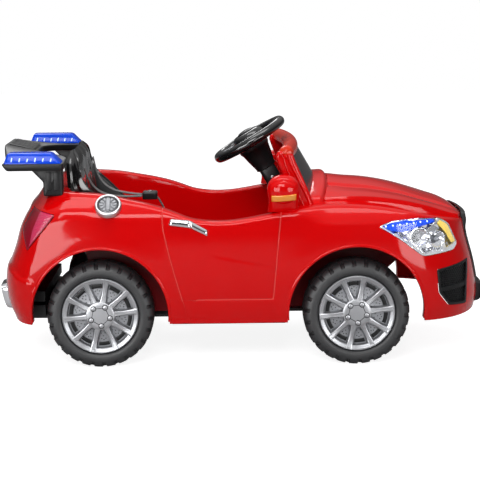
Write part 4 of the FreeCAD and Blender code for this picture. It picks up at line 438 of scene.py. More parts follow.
# %% Seams in the red shell, with painted highlights
def add_seam_highlights(made, width=1.1, soft=0.8):
    """Paints a highlight on the surface and sinks it where either attribute, in millimetres, is within width
    of zero.
    """
    tree = made.node_tree
    shader = tree.nodes["Principled BSDF"]
    link = tree.links.new
    nearest = node(tree, "ShaderNodeMath", operation="MINIMUM")
    for socket, name in enumerate(("seam_rear", "seam_front")):
        reading = node(tree, "ShaderNodeAttribute", attribute_name=name)
        size = node(tree, "ShaderNodeMath", operation="ABSOLUTE")
        link(reading.outputs["Fac"], size.inputs[0])
        link(size.outputs[0], nearest.inputs[socket])
    line = node(tree, "ShaderNodeMapRange")
    line.inputs["From Min"].default_value, line.inputs["From Max"].default_value = width - soft, width + soft
    pale = node(tree, "ShaderNodeMix", data_type="RGBA")
    # Painted highlight: a pale red for light caught on the seam's edge.
    pale.inputs[6].default_value = (0.90, 0.075, 0.065, 1)
    sink = node(tree, "ShaderNodeBump", Strength=0.9, Distance=0.0014)
    colour = shader.inputs["Base Color"].links[0].from_socket
    normal = shader.inputs["Normal"].links[0].from_socket
    link(nearest.outputs[0], line.inputs["Value"])
    link(line.outputs["Result"], pale.inputs[0])
    link(line.outputs["Result"], sink.inputs["Height"])
    link(colour, pale.inputs[7])
    link(normal, sink.inputs["Normal"])
    link(pale.outputs[2], shader.inputs["Base Color"])
    link(sink.outputs["Normal"], shader.inputs["Normal"])


# The shell's red, with painted highlights along its seams.
RED_SEAM_LIT = finish("red_shell_seam_highlights", *SHELL_RED, **SHELL_GLOSS)
add_seam_highlights(RED_SEAM_LIT)
print("seam finish ready")

# %% [markdown]
# ## Camera and studio
# The photograph was taken from the car's right side, a little above it and from far away, so the lens is
# long. The place and the angles come from the wheels and body lines, solved once and written here as
# numbers.

# %% Camera
def unit(v):
    """The vector divided by its length."""
    return np.asarray(v, float) / np.linalg.norm(v)


YAW, PITCH, BANK, FOCAL_PX = 0.0135, -0.1657, -0.0091, 1448.0
EYE = np.array([-52.86, -3262.0, 775.76])
ahead = np.array([np.sin(YAW) * np.cos(PITCH), np.cos(YAW) * np.cos(PITCH), np.sin(PITCH)])
flat_right = np.array([np.cos(YAW), -np.sin(YAW), 0.0])
flat_up = np.cross(flat_right, ahead)
right = flat_right * np.cos(BANK) + flat_up * np.sin(BANK)
above = flat_up * np.cos(BANK) - flat_right * np.sin(BANK)
lens = bpy.data.cameras.new("camera")
lens.sensor_width, lens.lens = 36.0, 36.0 * FOCAL_PX / 480
lens.clip_end = 50
camera = bpy.data.objects.new("camera", lens)
bpy.context.scene.collection.objects.link(camera)
pose = np.eye(4)
pose[:3, 0], pose[:3, 1], pose[:3, 2], pose[:3, 3] = right, above, -ahead, EYE * MM
camera.matrix_world = Matrix(pose.tolist())
bpy.context.scene.camera = camera
bpy.context.scene.view_settings.view_transform = "Standard"
print("camera lens", round(lens.lens, 1), "mm at", EYE)

# %% Floor, world and lamps
def softbox(name, at, target, width, height, watts, only_mirrored=False):
    """An area lamp at a place, facing a target. A lamp that is only mirrored lights nothing by itself."""
    lamp = bpy.data.lights.new(name, "AREA")
    lamp.shape, lamp.size, lamp.size_y, lamp.energy = "RECTANGLE", width, height, watts
    thing = bpy.data.objects.new(name, lamp)
    bpy.context.scene.collection.objects.link(thing)
    back = unit(np.subtract(at, target))
    side = unit(np.cross((0, 0, 1) if abs(back[2]) < 0.99 else (0, 1, 0), back))
    turn = np.eye(4)
    turn[:3, 0], turn[:3, 1], turn[:3, 2], turn[:3, 3] = side, np.cross(back, side), back, at
    thing.matrix_world = Matrix(turn.tolist())
    thing.visible_diffuse = not only_mirrored
    return thing


softbox("overhead", (-0.1, -0.5, 2.4), (0, 0, 0.2), 1.9, 0.9, 26)
softbox("camera_side", (-0.5, -2.9, 1.9), (0, 0, 0.25), 1.6, 0.9, 44)
softbox("tail_side", (-1.60, -2.45, 0.40), (-0.40, -0.25, 0.26), 2.0, 1.1, 62, only_mirrored=True)
softbox("nose_side", (1.55, -2.45, 0.40), (0.34, -0.25, 0.24), 1.5, 0.8, 32, only_mirrored=True)
softbox("far_side", (-0.6, 2.6, 2.2), (0, 0, 0.25), 1.4, 0.8, 18)

world = bpy.data.worlds.new("studio")
bpy.context.scene.world = world
world.use_nodes = True
tree = world.node_tree
tree.nodes.clear()
path = node(tree, "ShaderNodeLightPath")
place = node(tree, "ShaderNodeTexCoord")
lean = node(tree, "ShaderNodeVectorMath", operation="DOT_PRODUCT")
lean.inputs[1].default_value = (0, 0, 1)
height = node(tree, "ShaderNodeMapRange")
for name, value in (("From Min", 0.20), ("From Max", 0.90), ("To Min", 0.10), ("To Max", 0.90)):
    height.inputs[name].default_value = value
seen = node(tree, "ShaderNodeMath", operation="MAXIMUM")
pale = node(tree, "ShaderNodeBackground", Color=(1, 1, 1, 1), Strength=1.0)
mirror = node(tree, "ShaderNodeBackground", Color=(1, 1, 1, 1))
dim = node(tree, "ShaderNodeBackground", Color=(0.96, 0.97, 1, 1), Strength=0.34)
matt_or_gloss, pick = node(tree, "ShaderNodeMixShader"), node(tree, "ShaderNodeMixShader")
out = node(tree, "ShaderNodeOutputWorld")
tree.links.new(place.outputs["Generated"], lean.inputs[0])
tree.links.new(lean.outputs["Value"], height.inputs["Value"])
tree.links.new(height.outputs["Result"], mirror.inputs["Strength"])
tree.links.new(path.outputs["Is Glossy Ray"], matt_or_gloss.inputs[0])
tree.links.new(dim.outputs[0], matt_or_gloss.inputs[1])
tree.links.new(mirror.outputs[0], matt_or_gloss.inputs[2])
tree.links.new(path.outputs["Is Camera Ray"], seen.inputs[0])
tree.links.new(path.outputs["Is Transmission Ray"], seen.inputs[1])
tree.links.new(seen.outputs[0], pick.inputs[0])
tree.links.new(matt_or_gloss.outputs[0], pick.inputs[1])
tree.links.new(pale.outputs[0], pick.inputs[2])
tree.links.new(pick.outputs[0], out.inputs["Surface"])

paper = bpy.data.materials.new("paper_floor")
paper.use_nodes = True
tree = paper.node_tree
shader = tree.nodes["Principled BSDF"]
shader.inputs["Base Color"].default_value = (0.55, 0.55, 0.55, 1)
shader.inputs["Roughness"].default_value = 0.9
shader.inputs["Emission Color"].default_value = (1, 1, 1, 1)
path = node(tree, "ShaderNodeLightPath")
glow = node(tree, "ShaderNodeMath", operation="MULTIPLY")
glow.inputs[1].default_value = 0.88
tree.links.new(path.outputs["Is Camera Ray"], glow.inputs[0])
tree.links.new(glow.outputs[0], shader.inputs["Emission Strength"])
turn = np.linspace(0, 2 * np.pi, 73)[:-1]
floor_mesh = bpy.data.meshes.new("floor")
floor_mesh.from_pydata(np.c_[9 * np.cos(turn), 9 * np.sin(turn), 0 * turn - 0.0005].tolist(), [],
                       [list(range(72))])
floor_mesh.materials.append(paper)
floor = bpy.data.objects.new("floor", floor_mesh)
bpy.context.scene.collection.objects.link(floor)
print("studio:", len(bpy.data.lights), "softboxes")

# %% [markdown]
# ## The shell
# The shell is one blow-moulded skin: a rounded nose, straight flanks, a squarer tail, and shoulders that
# lean in above the doors. Seen from above, each height is a superellipse, so the skin is a table of
# widths and ends over the height, with stations that run from the middle of the nose round one flank to
# the middle of the tail. The top edge follows the side view's line, rolls over, crosses the deck and
# drops into the cockpit as one sheet.

# %% Stations round the shell
LEVEL_Z = [97, 120, 160, 200, 250, 300, 330, 352, 374, 400]
HALF_AT = [250, 258, 266, 270, 270, 267, 262, 248, 226, 196]
NOSE_AT = [520, 525, 520, 512, 499, 488, 478, 462, 440, 410]
TAIL_AT = [506, 515, 522, 520, 503, 487, 470, 455, 440, 420]
TOP_X = [-567, -440, -400, -355, -298, -250, -211, -174, -146, -120, -90, -60, -31, 7, 46, 85, 130, 180,
         240, 300, 360, 420, 470, 500, 567]
TOP_Z = [372, 374, 373.4, 371.5, 367, 358, 350, 340, 330, 320.5, 315, 313, 314, 319, 326, 333, 339, 343,
         342, 336, 326, 312, 299, 290, 274]
NOSE_ROUND, NOSE_POWER, NOSE_STEPS = 185.0, 2.3, 66
TAIL_ROUND, TAIL_POWER, TAIL_STEPS = 110.0, 3.4, 62
REAR_AXLE, FRONT_AXLE, AXLE_Z, ARCH = -310.0, 235.0, 113.0, 144.0


def quarter(power, length, width, count):
    """Cosine-like and sine-like shares of a quarter superellipse, c**p + s**p = 1, even along its length."""
    t = np.linspace(0, np.pi / 2, 2000)
    c, s = np.cos(t).clip(0) ** (2 / power), np.sin(t) ** (2 / power)
    run = np.concatenate([[0], np.cumsum(np.hypot(np.diff(c * length), np.diff(s * width)))])
    even = np.linspace(0, run[-1], count)
    return np.interp(even, run, c), np.interp(even, run, s)


nose_c, nose_s = quarter(NOSE_POWER, NOSE_ROUND, 262, NOSE_STEPS)
tail_c, tail_s = [share[::-1] for share in quarter(TAIL_POWER, TAIL_ROUND, 262, TAIL_STEPS)]
flank = np.linspace(0, 1, 148)[1:-1]
LEAD = np.concatenate([np.ones(NOSE_STEPS), 1 - flank, np.zeros(TAIL_STEPS)])[:, None]
REACH = np.concatenate([NOSE_ROUND * nose_c, 0 * flank, -TAIL_ROUND * tail_c])[:, None]
WIDE = np.concatenate([nose_s, 0 * flank + 1, tail_s])[:, None]


def skin(z):
    """x and y of every station at heights z (stations, rows): the flank slides between the nose's and
    tail's start."""
    nose = smooth_curve(z, LEVEL_Z, NOSE_AT) - NOSE_ROUND
    tail = TAIL_ROUND - smooth_curve(z, LEVEL_Z, TAIL_AT)
    return LEAD * nose + (1 - LEAD) * tail + REACH, WIDE * smooth_curve(z, LEVEL_Z, HALF_AT)


def arch_distance(x, z):
    """Distance outside the nearer wheel arch."""
    return np.minimum(np.hypot(x - REAR_AXLE, z - AXLE_Z), np.hypot(x - FRONT_AXLE, z - AXLE_Z)) - ARCH


def swell(x, z):
    """How far the flank stands out from the plain form: a flare round each arch with a crease, a leaning
    fender top, a crisp rear shoulder, a soft line in the door, a sill step and a bumper ledge at the
    tail."""
    d = arch_distance(x, z)
    out = 1.4 * (1 - step_up(d, 4, 64)) + 0.5 * (1 - step_up(d, 24, 30)) * (1 - step_up(x, -300, -200))
    fender = step_up(x, 112, 190) * (1 - step_up(x, 318, 372))
    out = out - fender * 0.42 * np.maximum(z - 306, 0)
    out = out + 2.6 * np.exp(-((z - 339) / 7) ** 2) * (1 - step_up(x, -345, -290))
    door = step_up(x, -80, -50) * (1 - step_up(x, 60, 70))
    line = z - (243 - (x + 61) * 0.2)
    out = out - 0.6 * door * step_up(line, -8, 0) * (1 - step_up(line, 0, 5))
    sill = step_up(x, -130, -104) * (1 - step_up(x, 58, 60))
    out = out + 1.6 * sill * (1 - step_up(z, 144, 149))
    ledge = z - np.interp(x, [-520, -496, -480, -454], [214, 212, 199, 191])
    return out + 3.5 * (1 - step_up(x, -452, -444)) * (1 - step_up(ledge, -4, 3))


top = np.full((len(LEAD), 1), 340.0)
for settle in range(10):
    top = smooth_curve(skin(top)[0], TOP_X, TOP_Z)
print(len(LEAD), "stations, top line from", top.min().round(), "to", top.max().round())

# %% Flank, from the rolled bottom edge to the rolled top edge
ROLL, UNDER, FOOT = 8.0, 4.0, 92.0
turn = np.linspace(0, np.pi / 2, 6)[None]
rise = np.linspace(0, 1, 50)[None]
low = FOOT + UNDER
heights = np.hstack([np.full_like(top, FOOT), low - UNDER * np.cos(turn) + 0 * top,
                     low + (top - ROLL - low) * rise, top - ROLL + ROLL * np.sin(turn)])
inset = np.hstack([np.full_like(top, 14.0), UNDER * (1 - np.sin(turn)) + 0 * top, 0 * (top + rise),
                   ROLL * (1 - np.cos(turn)) + 0 * top])
fx, fy = skin(heights)
across = np.gradient(fx, axis=0), np.gradient(fy, axis=0)
size = np.hypot(*across)
out_x, out_y = across[1] / size, -across[0] / size
out_x[0], out_y[0], out_x[-1], out_y[-1] = 1, 0, -1, 0
proud = swell(fx, np.minimum(heights, top)) - inset
flank_points = np.stack([fx + out_x * proud, fy + out_y * proud, heights], axis=-1)
flank_points[[0, -1], :, 1] = 0
flank_sheet = grid(flank_points)
print("flank", flank_points.shape)

# %% Deck and cockpit wall
edge = flank_points[:, -1]
x_top, y_top = edge[:, 0], edge[:, 1]
inner_y = (y_top - 20) * (1 - step_up(x_top, 84, 124)) + 178 * step_up(x_top, 84, 124)
inner = np.stack([x_top, inner_y], axis=1)
inner[:NOSE_STEPS] = np.c_[x_top[NOSE_STEPS - 1] + 148 * nose_c, 178 * nose_s]
tail_x = -330 - 55 * (1 - tail_s ** 6).clip(0) ** (1 / 6)
inner[-TAIL_STEPS:] = np.c_[tail_x, inner_y[-TAIL_STEPS - 1] * tail_s]
inward = inner - edge[:, :2]
inward = inward / np.linalg.norm(inward, axis=1)[:, None]
share = np.linspace(0, 1, 8)[None, :, None]
flat = edge[:, None, :2] * (1 - share) + inner[:, None] * share
cockpit = (1 - step_up(x_top, 96, 130)) * step_up(x_top, -424, -380)
floor_z = top[:, 0] - 24 - cockpit * (top[:, 0] - 24 - 100)
floor_z[-TAIL_STEPS:] = np.minimum(floor_z[-TAIL_STEPS:], 190)
bend = np.linspace(0, np.pi / 2, 6)[None, 1:]
wall = np.linspace(0, 1, 22)[None, 1:]
reach = np.hstack([6 * np.sin(bend) + 0 * top, 6 + 0 * top + 0 * wall])
fall = np.hstack([6 * (1 - np.cos(bend)) + 0 * top, 6 + (top - 6 - floor_z[:, None]) * wall])
down = np.concatenate([inner[:, None] + inward[:, None] * reach[..., None], (top - fall)[..., None]],
                      axis=-1)
deck_points = np.concatenate([np.concatenate([flat, np.repeat(top[:, None], 8, 1)], axis=-1), down], axis=1)
deck_points[[0, -1], :, 1] = 0
deck_sheet = grid(deck_points)
print("deck and wall", deck_points.shape)

# %% Openings for wheels, lamps and intakes, then the wall thickness
HEADLIGHT = rounded([(277, 300), (308, 312), (360, 316), (413, 312), (435, 298), (458, 251), (447, 239),
                     (374, 234), (332, 266), (305, 284)], 7)
TAILLIGHT = rounded([(-453, 342), (-397, 331), (-462, 252), (-477, 296)], 5)
INTAKE = rounded([(404, 205), (409, 154), (433, 123), (479, 118), (481, 163), (487, 213)], 5)
GRILLE = rounded([(108, 295), (118, 263), (89, 152), (-89, 152), (-118, 263), (-108, 295)], 6)


def off_arches(points):
    """Distance outside the arches, less the width that the bead covers."""
    return arch_distance(points[:, 0], points[:, 2]) - 4


cut_flank = clip(flank_sheet, off_arches)
for outline in (HEADLIGHT, TAILLIGHT, INTAKE):
    cut_flank = clip(cut_flank, beyond(outline))
at_nose = beyond(GRILLE, (1, 2))
cut_flank = clip(cut_flank, lambda p: np.where(p[:, 0] > 380, at_nose(p), 99.0))
cut_deck = clip(deck_sheet, off_arches)
half_shell = join(cut_flank, cut_deck)
shell = piece("shell", thick(welded(both_sides(half_shell), 0.02), 3.6), RED_SEAM_LIT,
              stands_for=["body_shell"], sharp=38)


def seam_field(line):
    """A field of the signed distance in x and z to a line of points; far away everywhere but on the
    flanks."""
    a, b = np.array(line[:-1], float)[None], np.array(line[1:], float)[None]
    run = b - a

    def field(points):
        p = points[:, None, [0, 2]]
        t = np.clip(np.sum((p - a) * run, -1) / np.sum(run ** 2, -1), 0, 1)
        off = np.linalg.norm(p - a - run * t[..., None], axis=-1)
        best = off.argmin(1)
        row = np.arange(len(points))
        way, gone = run[0, best], p[row, 0] - a[0, best]
        side = way[:, 0] * gone[:, 1] - way[:, 1] * gone[:, 0]
        return np.where(np.abs(points[:, 1]) > 238, np.sign(side) * off[row, best], 99.0)
    return field


mark(shell, "seam_rear", seam_field([(-175, 345), (-175, 320), (-174, 299), (-163, 248), (-149, 194),
                                     (-135, 145)]))
mark(shell, "seam_front", seam_field([(75, 334), (74, 328), (68, 267), (61, 191), (57, 147), (-104, 147)]))

# %% [markdown]
# A wheel arch ends in a rolled bead, which stiffens the thin skin and catches a line of light. It is a small
# profile carried round the arch, lying on the skin, with a return that turns inwards behind it.

# %% Arch beads
def skin_y(x, z):
    """Half-width at a place in the side view: the superellipse of that height solved for y, and the
    swell."""
    width = smooth_curve(z, LEVEL_Z, HALF_AT)
    ahead = (x - smooth_curve(z, LEVEL_Z, NOSE_AT) + NOSE_ROUND) / NOSE_ROUND
    behind = (-x - smooth_curve(z, LEVEL_Z, TAIL_AT) + TAIL_ROUND) / TAIL_ROUND
    nose = (1 - np.clip(ahead, 0, 1) ** NOSE_POWER) ** (1 / NOSE_POWER)
    tail = (1 - np.clip(behind, 0, 1) ** TAIL_POWER) ** (1 / TAIL_POWER)
    return width * (nose * tail) + swell(x, z)


def skin_at(x, z):
    """Half-width at one place of the side view, as a plain number."""
    return float(skin_y(np.array([x]), np.array([z]))[0])


def arch_bead(x0):
    """The bead's profile, out from the arch in r and proud of the skin in y, at every angle round the
    axle."""
    start = -np.arcsin((AXLE_Z - 98.0) / ARCH)
    angle = np.linspace(start, np.pi - start, 120)[:, None]
    r = ARCH + np.array([0.5, 0.0, 0.0, 0.5, 1.6, 3.2, 4.8, 6.2, 7.4, 8.4])[None]
    lift = np.array([-26.0, -24.0, -2.0, 0.6, 1.4, 1.6, 1.2, 0.4, -0.4, -1.0])[None]
    x, z = x0 + r * np.cos(angle), AXLE_Z + r * np.sin(angle)
    y = skin_y(x, z) + lift
    return grid(np.stack([x, y, z], axis=-1))


beads = both_sides(join(thick(arch_bead(REAR_AXLE), 1.6), thick(arch_bead(FRONT_AXLE), 1.6)))
piece("arch_beads", beads, RED, sharp=50)


def well(x0, start, stop, depth, keep):
    """A liner round the wheel and the inner wall behind it, trimmed where the well is open."""
    angle = np.radians(np.linspace(start, stop, 60))
    ring = np.stack([x0 + (ARCH + 3.4) * np.cos(angle), AXLE_Z + (ARCH + 3.4) * np.sin(angle)], 1)
    outer = skin_y(ring[:, 0], np.maximum(ring[:, 1], 98)) - 5
    t = np.linspace(0, 1, 14)[None]
    y = outer[:, None] * (1 - t) + depth * t
    liner = np.stack([ring[:, :1] + 0 * t, y, ring[:, 1:] + 0 * t], axis=-1)
    r = np.linspace(ARCH + 3.4, 62, 20)[None]
    x, z = x0 + r * np.cos(angle)[:, None], AXLE_Z + r * np.sin(angle)[:, None]
    wall = np.stack([x, 0 * x + depth, z], axis=-1)
    return thick(clip(join(grid(liner), grid(wall)), keep), -2.0)


rear_well = well(REAR_AXLE, -6, 106, 170, lambda p: p[:, 2] - 104)
front_well = well(FRONT_AXLE, 42, 186, 122, lambda p: np.maximum(p[:, 2] - 160, 140 - p[:, 0]))
ledge_x = FRONT_AXLE - ARCH - 2
ledge = block(rounded([(ledge_x - 14, 121), (ledge_x, 121), (ledge_x, 232), (ledge_x - 14, 232)], 2),
              97.3, 99.3, bevel=0.6, plane="xy")
# The wells take the red darkened as painted shade.
piece("wheel_wells", both_sides(join(rear_well, front_well, ledge)), RED_IN_SHADE,
      stands_for=["wheel_liners"])

# %% [markdown]
# ## Hood, cowl and windshield
# The hood is a height over the plan: a raised dome down the middle, a valley on each side and a leaning
# edge that steps down to the fender. The cowl behind it climbs to the foot of the windshield and ends in
# a rolled ridge, so a dark slit stays between the two.

# %% Hood
def hood_edge_x(y):
    """Front edge of the hood in plan: the nose's superellipse a little inside the skin."""
    s = np.clip(np.abs(y) / 266, 0, 1)
    return 302 + 183 * (1 - s ** NOSE_POWER) ** (1 / NOSE_POWER)


def hood_rear_x(y):
    """Rear edge of the hood in plan, bowed forward by a parabola."""
    return 170 + 18 * (1 - (y / 190) ** 2)


HOOD_X = [160, 184, 222, 280, 338, 396, 449, 470, 478, 486]
u = np.linspace(0, 1, 90)[:, None]
v = np.linspace(-1, 1, 121)[None]
half = smooth_curve(184 + 286 * u, HOOD_X[:8], [183, 185, 188, 188, 182, 170, 150, 140])
hy = v * half
hx = hood_rear_x(hy) + (hood_edge_x(hy) - hood_rear_x(hy)) * u
crown = smooth_curve(hx, HOOD_X, [377, 377, 373, 367, 355, 337, 320, 310, 304, 297])
crease = smooth_curve(hx, HOOD_X, [364, 365, 362, 357, 347, 331, 315, 307, 302, 295])
rim = smooth_curve(hx, HOOD_X, [350, 352, 354, 352, 343, 328, 310, 304, 300, 294])
far = np.abs(hy)
lean = np.clip(far / 92, 0, 1)
hz = crown + (crease - crown) * lean ** 2
slope = np.clip((far - 92) / np.maximum(half - 92, 1), 0, 1)
hz = np.where(far > 92, crease + (rim - crease) * slope ** 1.6, hz)
fade = (1 - step_up(u, 0.86, 1.0))
hz = hz + fade * (3.2 * (1 - step_up(far, 78, 90))
                  + 2.2 * step_up(far, 92, 116) * (1 - step_up(slope, 0.55, 1)))
hood_top = np.stack([hx, hy, hz], axis=-1)
skirt = np.linspace(0, 1, 5)[1:]
left, last = hood_top[:, -1], hood_top[:, 0]
roll_out = np.stack([np.stack([left[:, 0], left[:, 1] + 3 * np.sin(s * 1.6), left[:, 2] - 17 * s], 1)
                     for s in skirt], 1)
roll_in = np.stack([np.stack([last[:, 0], last[:, 1] - 3 * np.sin(s * 1.6), last[:, 2] - 17 * s], 1)
                    for s in skirt[::-1]], 1)
hood_sheet = np.concatenate([roll_in, hood_top, roll_out], axis=1)
front_lip = np.stack([hood_sheet[-1] + np.array([1.5 * s, 0, -6 * s]) for s in (0.4, 0.8, 1.0)])
rear_lip = np.stack([hood_sheet[0] + np.array([-1.0 * s, 0, -12 * s]) for s in (1.0, 0.6, 0.25)])
hood_sheet = np.concatenate([rear_lip, hood_sheet, front_lip])
piece("hood", thick(grid(hood_sheet), 3.0), RED, stands_for=["hood_panel"], sharp=44)

# %% Cowl and scuttle
PANE_HALF = 193.0


def pane_x(y):
    """Foot of the windshield in plan, bowed forward in the middle."""
    return 137 + 20 * (1 - (y / PANE_HALF) ** 2)


v = np.linspace(-1, 1, 101)[:, None]
t = np.linspace(0, 1, 48)[None]
cy = 210 * v + 0 * t
cx = 90 + (hood_rear_x(cy) - 2.5 - 90) * t
lift = np.maximum(1 - (cy / 214) ** 2, 0)
cz = smooth_curve(cx, TOP_X, TOP_Z) + 4 + 38 * lift * step_up(cx, 96, pane_x(cy) + 4)
cz = cz - 26 * step_up(np.abs(cy), 188, 210) ** 2
cz = cz - 9 * step_up(cx, hood_rear_x(cy) - 12, hood_rear_x(cy) - 2) ** 2
cowl_points = np.stack([cx, cy, cz], axis=-1)
lip = np.stack([cowl_points[:, 0] + np.array([-7 * np.sin(a), 0, -7 * (1 - np.cos(a))])
                for a in (1.57, 1.2, 0.8, 0.4)], 1)
lever_room = 1 - step_up(np.abs(cy[:, :1] - 70), 16, 30)
hem = lip[:, :1] - (14.0 - 12.5 * lever_room)[..., None] * np.array([0, 0, 1.0])
dip = cowl_points[:, -1:] + np.array([0.5, 0, -16.0])
cowl_points = np.concatenate([hem, lip, cowl_points, dip], axis=1)
piece("cowl", thick(grid(cowl_points), 3.0), RED, sharp=50)

# %% Windshield pane, pillars and top rail
v = np.linspace(-1, 1, 41)[:, None]
t = np.linspace(0, 1, 18)[None]
bow = 20 * (1 - v ** 2)
pane = np.stack([137 + bow + (101 - 137) * t + 0 * v, PANE_HALF * v + 0 * t,
                 346 + 39.5 * (1 - v ** 2) * (1 - t) + (448 - 346) * t], axis=-1)
piece("windshield_pane", thick(grid(pane), 2.6), SMOKED, stands_for=["windshield_panel"])

PILLAR = rounded([(71, 455), (65, 444), (75, 416), (91, 383), (107, 350), (117, 322), (150, 322), (146, 343),
                  (125, 394), (107, 434), (102, 450), (92, 456)], 9)
pillar = block(PILLAR, 186, 212, bevel=6, steps=5)


def raised_line(line, size, count=40):
    """A round bead on the pillar's outer face along points (x, z) of the side view."""
    flat = curve_through(line, count)
    return along(np.stack([flat[:, 0], np.full(count, 211.6), flat[:, 1]], axis=1), circle(size, 12),
                 up=(0, 1, 0))


ridge = raised_line([(92, 448), (97, 432), (113, 397), (131, 361), (141, 336)], 4.2)
groove = raised_line([(80, 446), (88, 420), (102, 388), (116, 356), (126, 334)], 2.2)
screw = join(*[moved(spun([(0, 3.2), (2.4, 2.8), (4, 1.4), (4.4, 0), (4.4, -2)], 16), (x, 211.5, z))
               for x, z in ((76, 447), (89, 443))])
piece("windshield_frame", both_sides(join(pillar, ridge, groove, screw)), RED,
      stands_for=["windshield_frame"])
bend = np.linspace(-1, 1, 81)
end = np.sqrt(1 - np.clip((np.abs(bend) - 0.93) / 0.0705, 0, 1) ** 2)
across_car = np.stack([86 + 20 * (1 - bend ** 2), 214 * bend, 454 - 2 * bend ** 2], axis=1)
rail = along(across_car, rounded([(-15, -13), (15, -13), (17, 4), (6, 14), (-8, 14), (-16, 4)], 11),
             scale=end)
# The rail is the frame's red with its lit top painted in.
piece("windshield_rail", rail, RED_LIT_TOP)

# %% [markdown]
# ## Wheels
# The tyre is blow-moulded plastic, not rubber: a hollow drum with lugs pressed into its shoulders and a
# shallow tread. It is a profile spun round the axle, and the tread is a second formula that lowers the
# radius by place and angle. The hubcap is a dish with ten spokes in pairs, a boss with five studs and a
# five-sided groove, and slots by the rim. The groove and the rings round the studs are dark as painted
# shade: black plates where shade falls in them.

# %% Tyre
WHEEL_Y, TYRE = 222.0, 113.0
LUGS = 26


def filled_in(profile, spacing):
    """Extra points along a polyline so that no step is longer than spacing."""
    profile = np.asarray(profile, float)
    run = np.linalg.norm(np.diff(profile, axis=0), axis=1)
    marks = np.concatenate([[0], np.cumsum(run)])
    places = np.unique(np.concatenate([marks, np.arange(0, marks[-1], spacing)]))
    return np.stack([np.interp(places, marks, profile[:, k]) for k in range(2)], axis=1)


outside = curve_through([(88, -40), (94, -40), (101, -38.6), (107, -35.2), (111.3, -30), (113, -24),
                         (113, 0), (113, 24), (111.3, 30), (107, 35.2), (100, 38.9), (93, 40), (87, 39.2),
                         (83.4, 37), (82, 34)], 66)
inside = filled_in([(82, 34), (82, 29), (76, 27), (76, 8), (6.6, 8), (6.6, -39), (16, -39), (16, 3),
                    (76, 3), (76, -38), (78, -40), (88, -40)], 14)
section = np.vstack([outside, inside[1:-1]])
angle = np.arange(LUGS * 14)[:, None] * 2 * np.pi / (LUGS * 14)
r, h = np.repeat(section[None, :, 0], len(angle), 0), np.repeat(section[None, :, 1], len(angle), 0)


def notch(turn, low, high):
    """1 in the middle of each lug gap and 0 on the lugs; low and high are half-widths in millimetres."""
    pitch = 2 * np.pi / LUGS
    off = np.abs((turn / pitch + 0.5) % 1 - 0.5) * pitch * TYRE
    return 1 - step_up(off, low, high)


side = np.abs(h)
tread = r > 98
shoulder = step_up(side, 17, 20) * (1 - step_up(side, 37.2, 39))
middle = 1 - step_up(side, 14, 16)
r = r - tread * 5.0 * shoulder * notch(angle + np.sign(h) * 0.06, 2.6, 4.4)
r = r - tread * 2.2 * middle * notch(angle + side * 0.0042, 1.6, 3.0)
r = r - tread * 1.6 * np.exp(-((side - 17) / 1.8) ** 2)
tyre = grid(np.stack([r * np.cos(angle), h, r * np.sin(angle)], axis=-1), wrap_u=True, wrap_v=True)
print("tyre", len(tyre[0]), "points")

# %% Hubcap: rim, dish, spokes and boss
def ring_plate(outer, width, low, high, bevel, plane="xz", steps=4):
    """A closed band along an outline: out over the top with rounded edges and down inside, one ring after
    another."""
    turn = np.linspace(0, np.pi / 2, steps)
    sign = np.sign(high - low)
    edge = [(bevel * (1 - np.cos(a)), high - sign * bevel * (1 - np.sin(a))) for a in turn]
    rows = [(0, low)] + edge + [(width - d, z) for d, z in edge[::-1]] + [(width, low)]
    order = {"xz": (0, 2, 1), "xy": (0, 1, 2), "yz": (2, 0, 1)}[plane]
    rings = np.array([np.c_[shrunk(outer, d), np.full(len(outer), z)] for d, z in rows])[:, :, order]
    return grid(rings, wrap_u=True, wrap_v=True)


def spoke(degrees):
    """Sections square to the radius: a flat face with bevelled flanks, wide at the boss and the rim."""
    reach = np.linspace(22, 79.5, 20)
    width = smooth_curve(reach, [22, 30, 42, 60, 70, 79.5], [15, 12.4, 10.0, 10.0, 12.0, 15.5]) / 2
    face = smooth_curve(reach, [22, 30, 42, 60, 70, 79.5], [36.6, 36.0, 35.0, 35.2, 36.8, 38.7])
    across = np.array([-1.55, -1.12, -0.92, -0.55, -0.42, 0.42, 0.55, 0.92, 1.12, 1.55])
    drop = np.array([13.0, 2.2, 0.5, 0.0, 0.7, 0.7, 0.0, 0.5, 2.2, 13.0])
    s = across[None] * width[:, None]
    turn = np.radians(degrees)
    x = reach[:, None] * np.cos(turn) - s * np.sin(turn)
    z = reach[:, None] * np.sin(turn) + s * np.cos(turn)
    return capped(np.stack([x, face[:, None] - drop[None], z], axis=-1))


SPOKES = [276 + 72 * k + splay for k in range(5) for splay in (-19, 19)]
STUDS = [276 + 72 * k for k in range(5)]
rim = spun([(81.4, 26), (81.4, 35), (80.8, 37.2), (79.6, 38.2), (78, 38.3), (76.4, 37.4), (73.4, 36.6),
            (71.4, 36.0), (70.2, 34.6), (69.2, 29), (68.6, 25.2), (68.4, 22.8), (74, 20), (79, 22)], 120,
           closed=True)
dish = spun([(68.8, 23.4), (58, 23.0), (57, 22.2), (40, 22.6), (28, 24.5), (22, 28), (22, 20), (60, 19),
             (69, 20)], 120, closed=True)
boss = spun([(0, 37.4), (22, 37.4), (27.4, 37.1), (30.0, 36.0), (31.4, 33), (32, 24), (0, 22)], 80)
CORNERS = np.array([(np.cos(np.radians(a)), np.sin(np.radians(a))) for a in STUDS]) * 21.3
stud = spun([(0, 39.6), (3.4, 39.5), (4.4, 39.0), (4.8, 38.2), (4.9, 36)], 28)
studs = join(*[moved(stud, (x, 0, z)) for x, z in CORNERS])
groove = spun([(4.6, 36.8), (6.1, 36.8), (6.1, 38.1), (5.8, 38.4), (4.9, 38.4), (4.6, 38.1)], 32,
              closed=True)
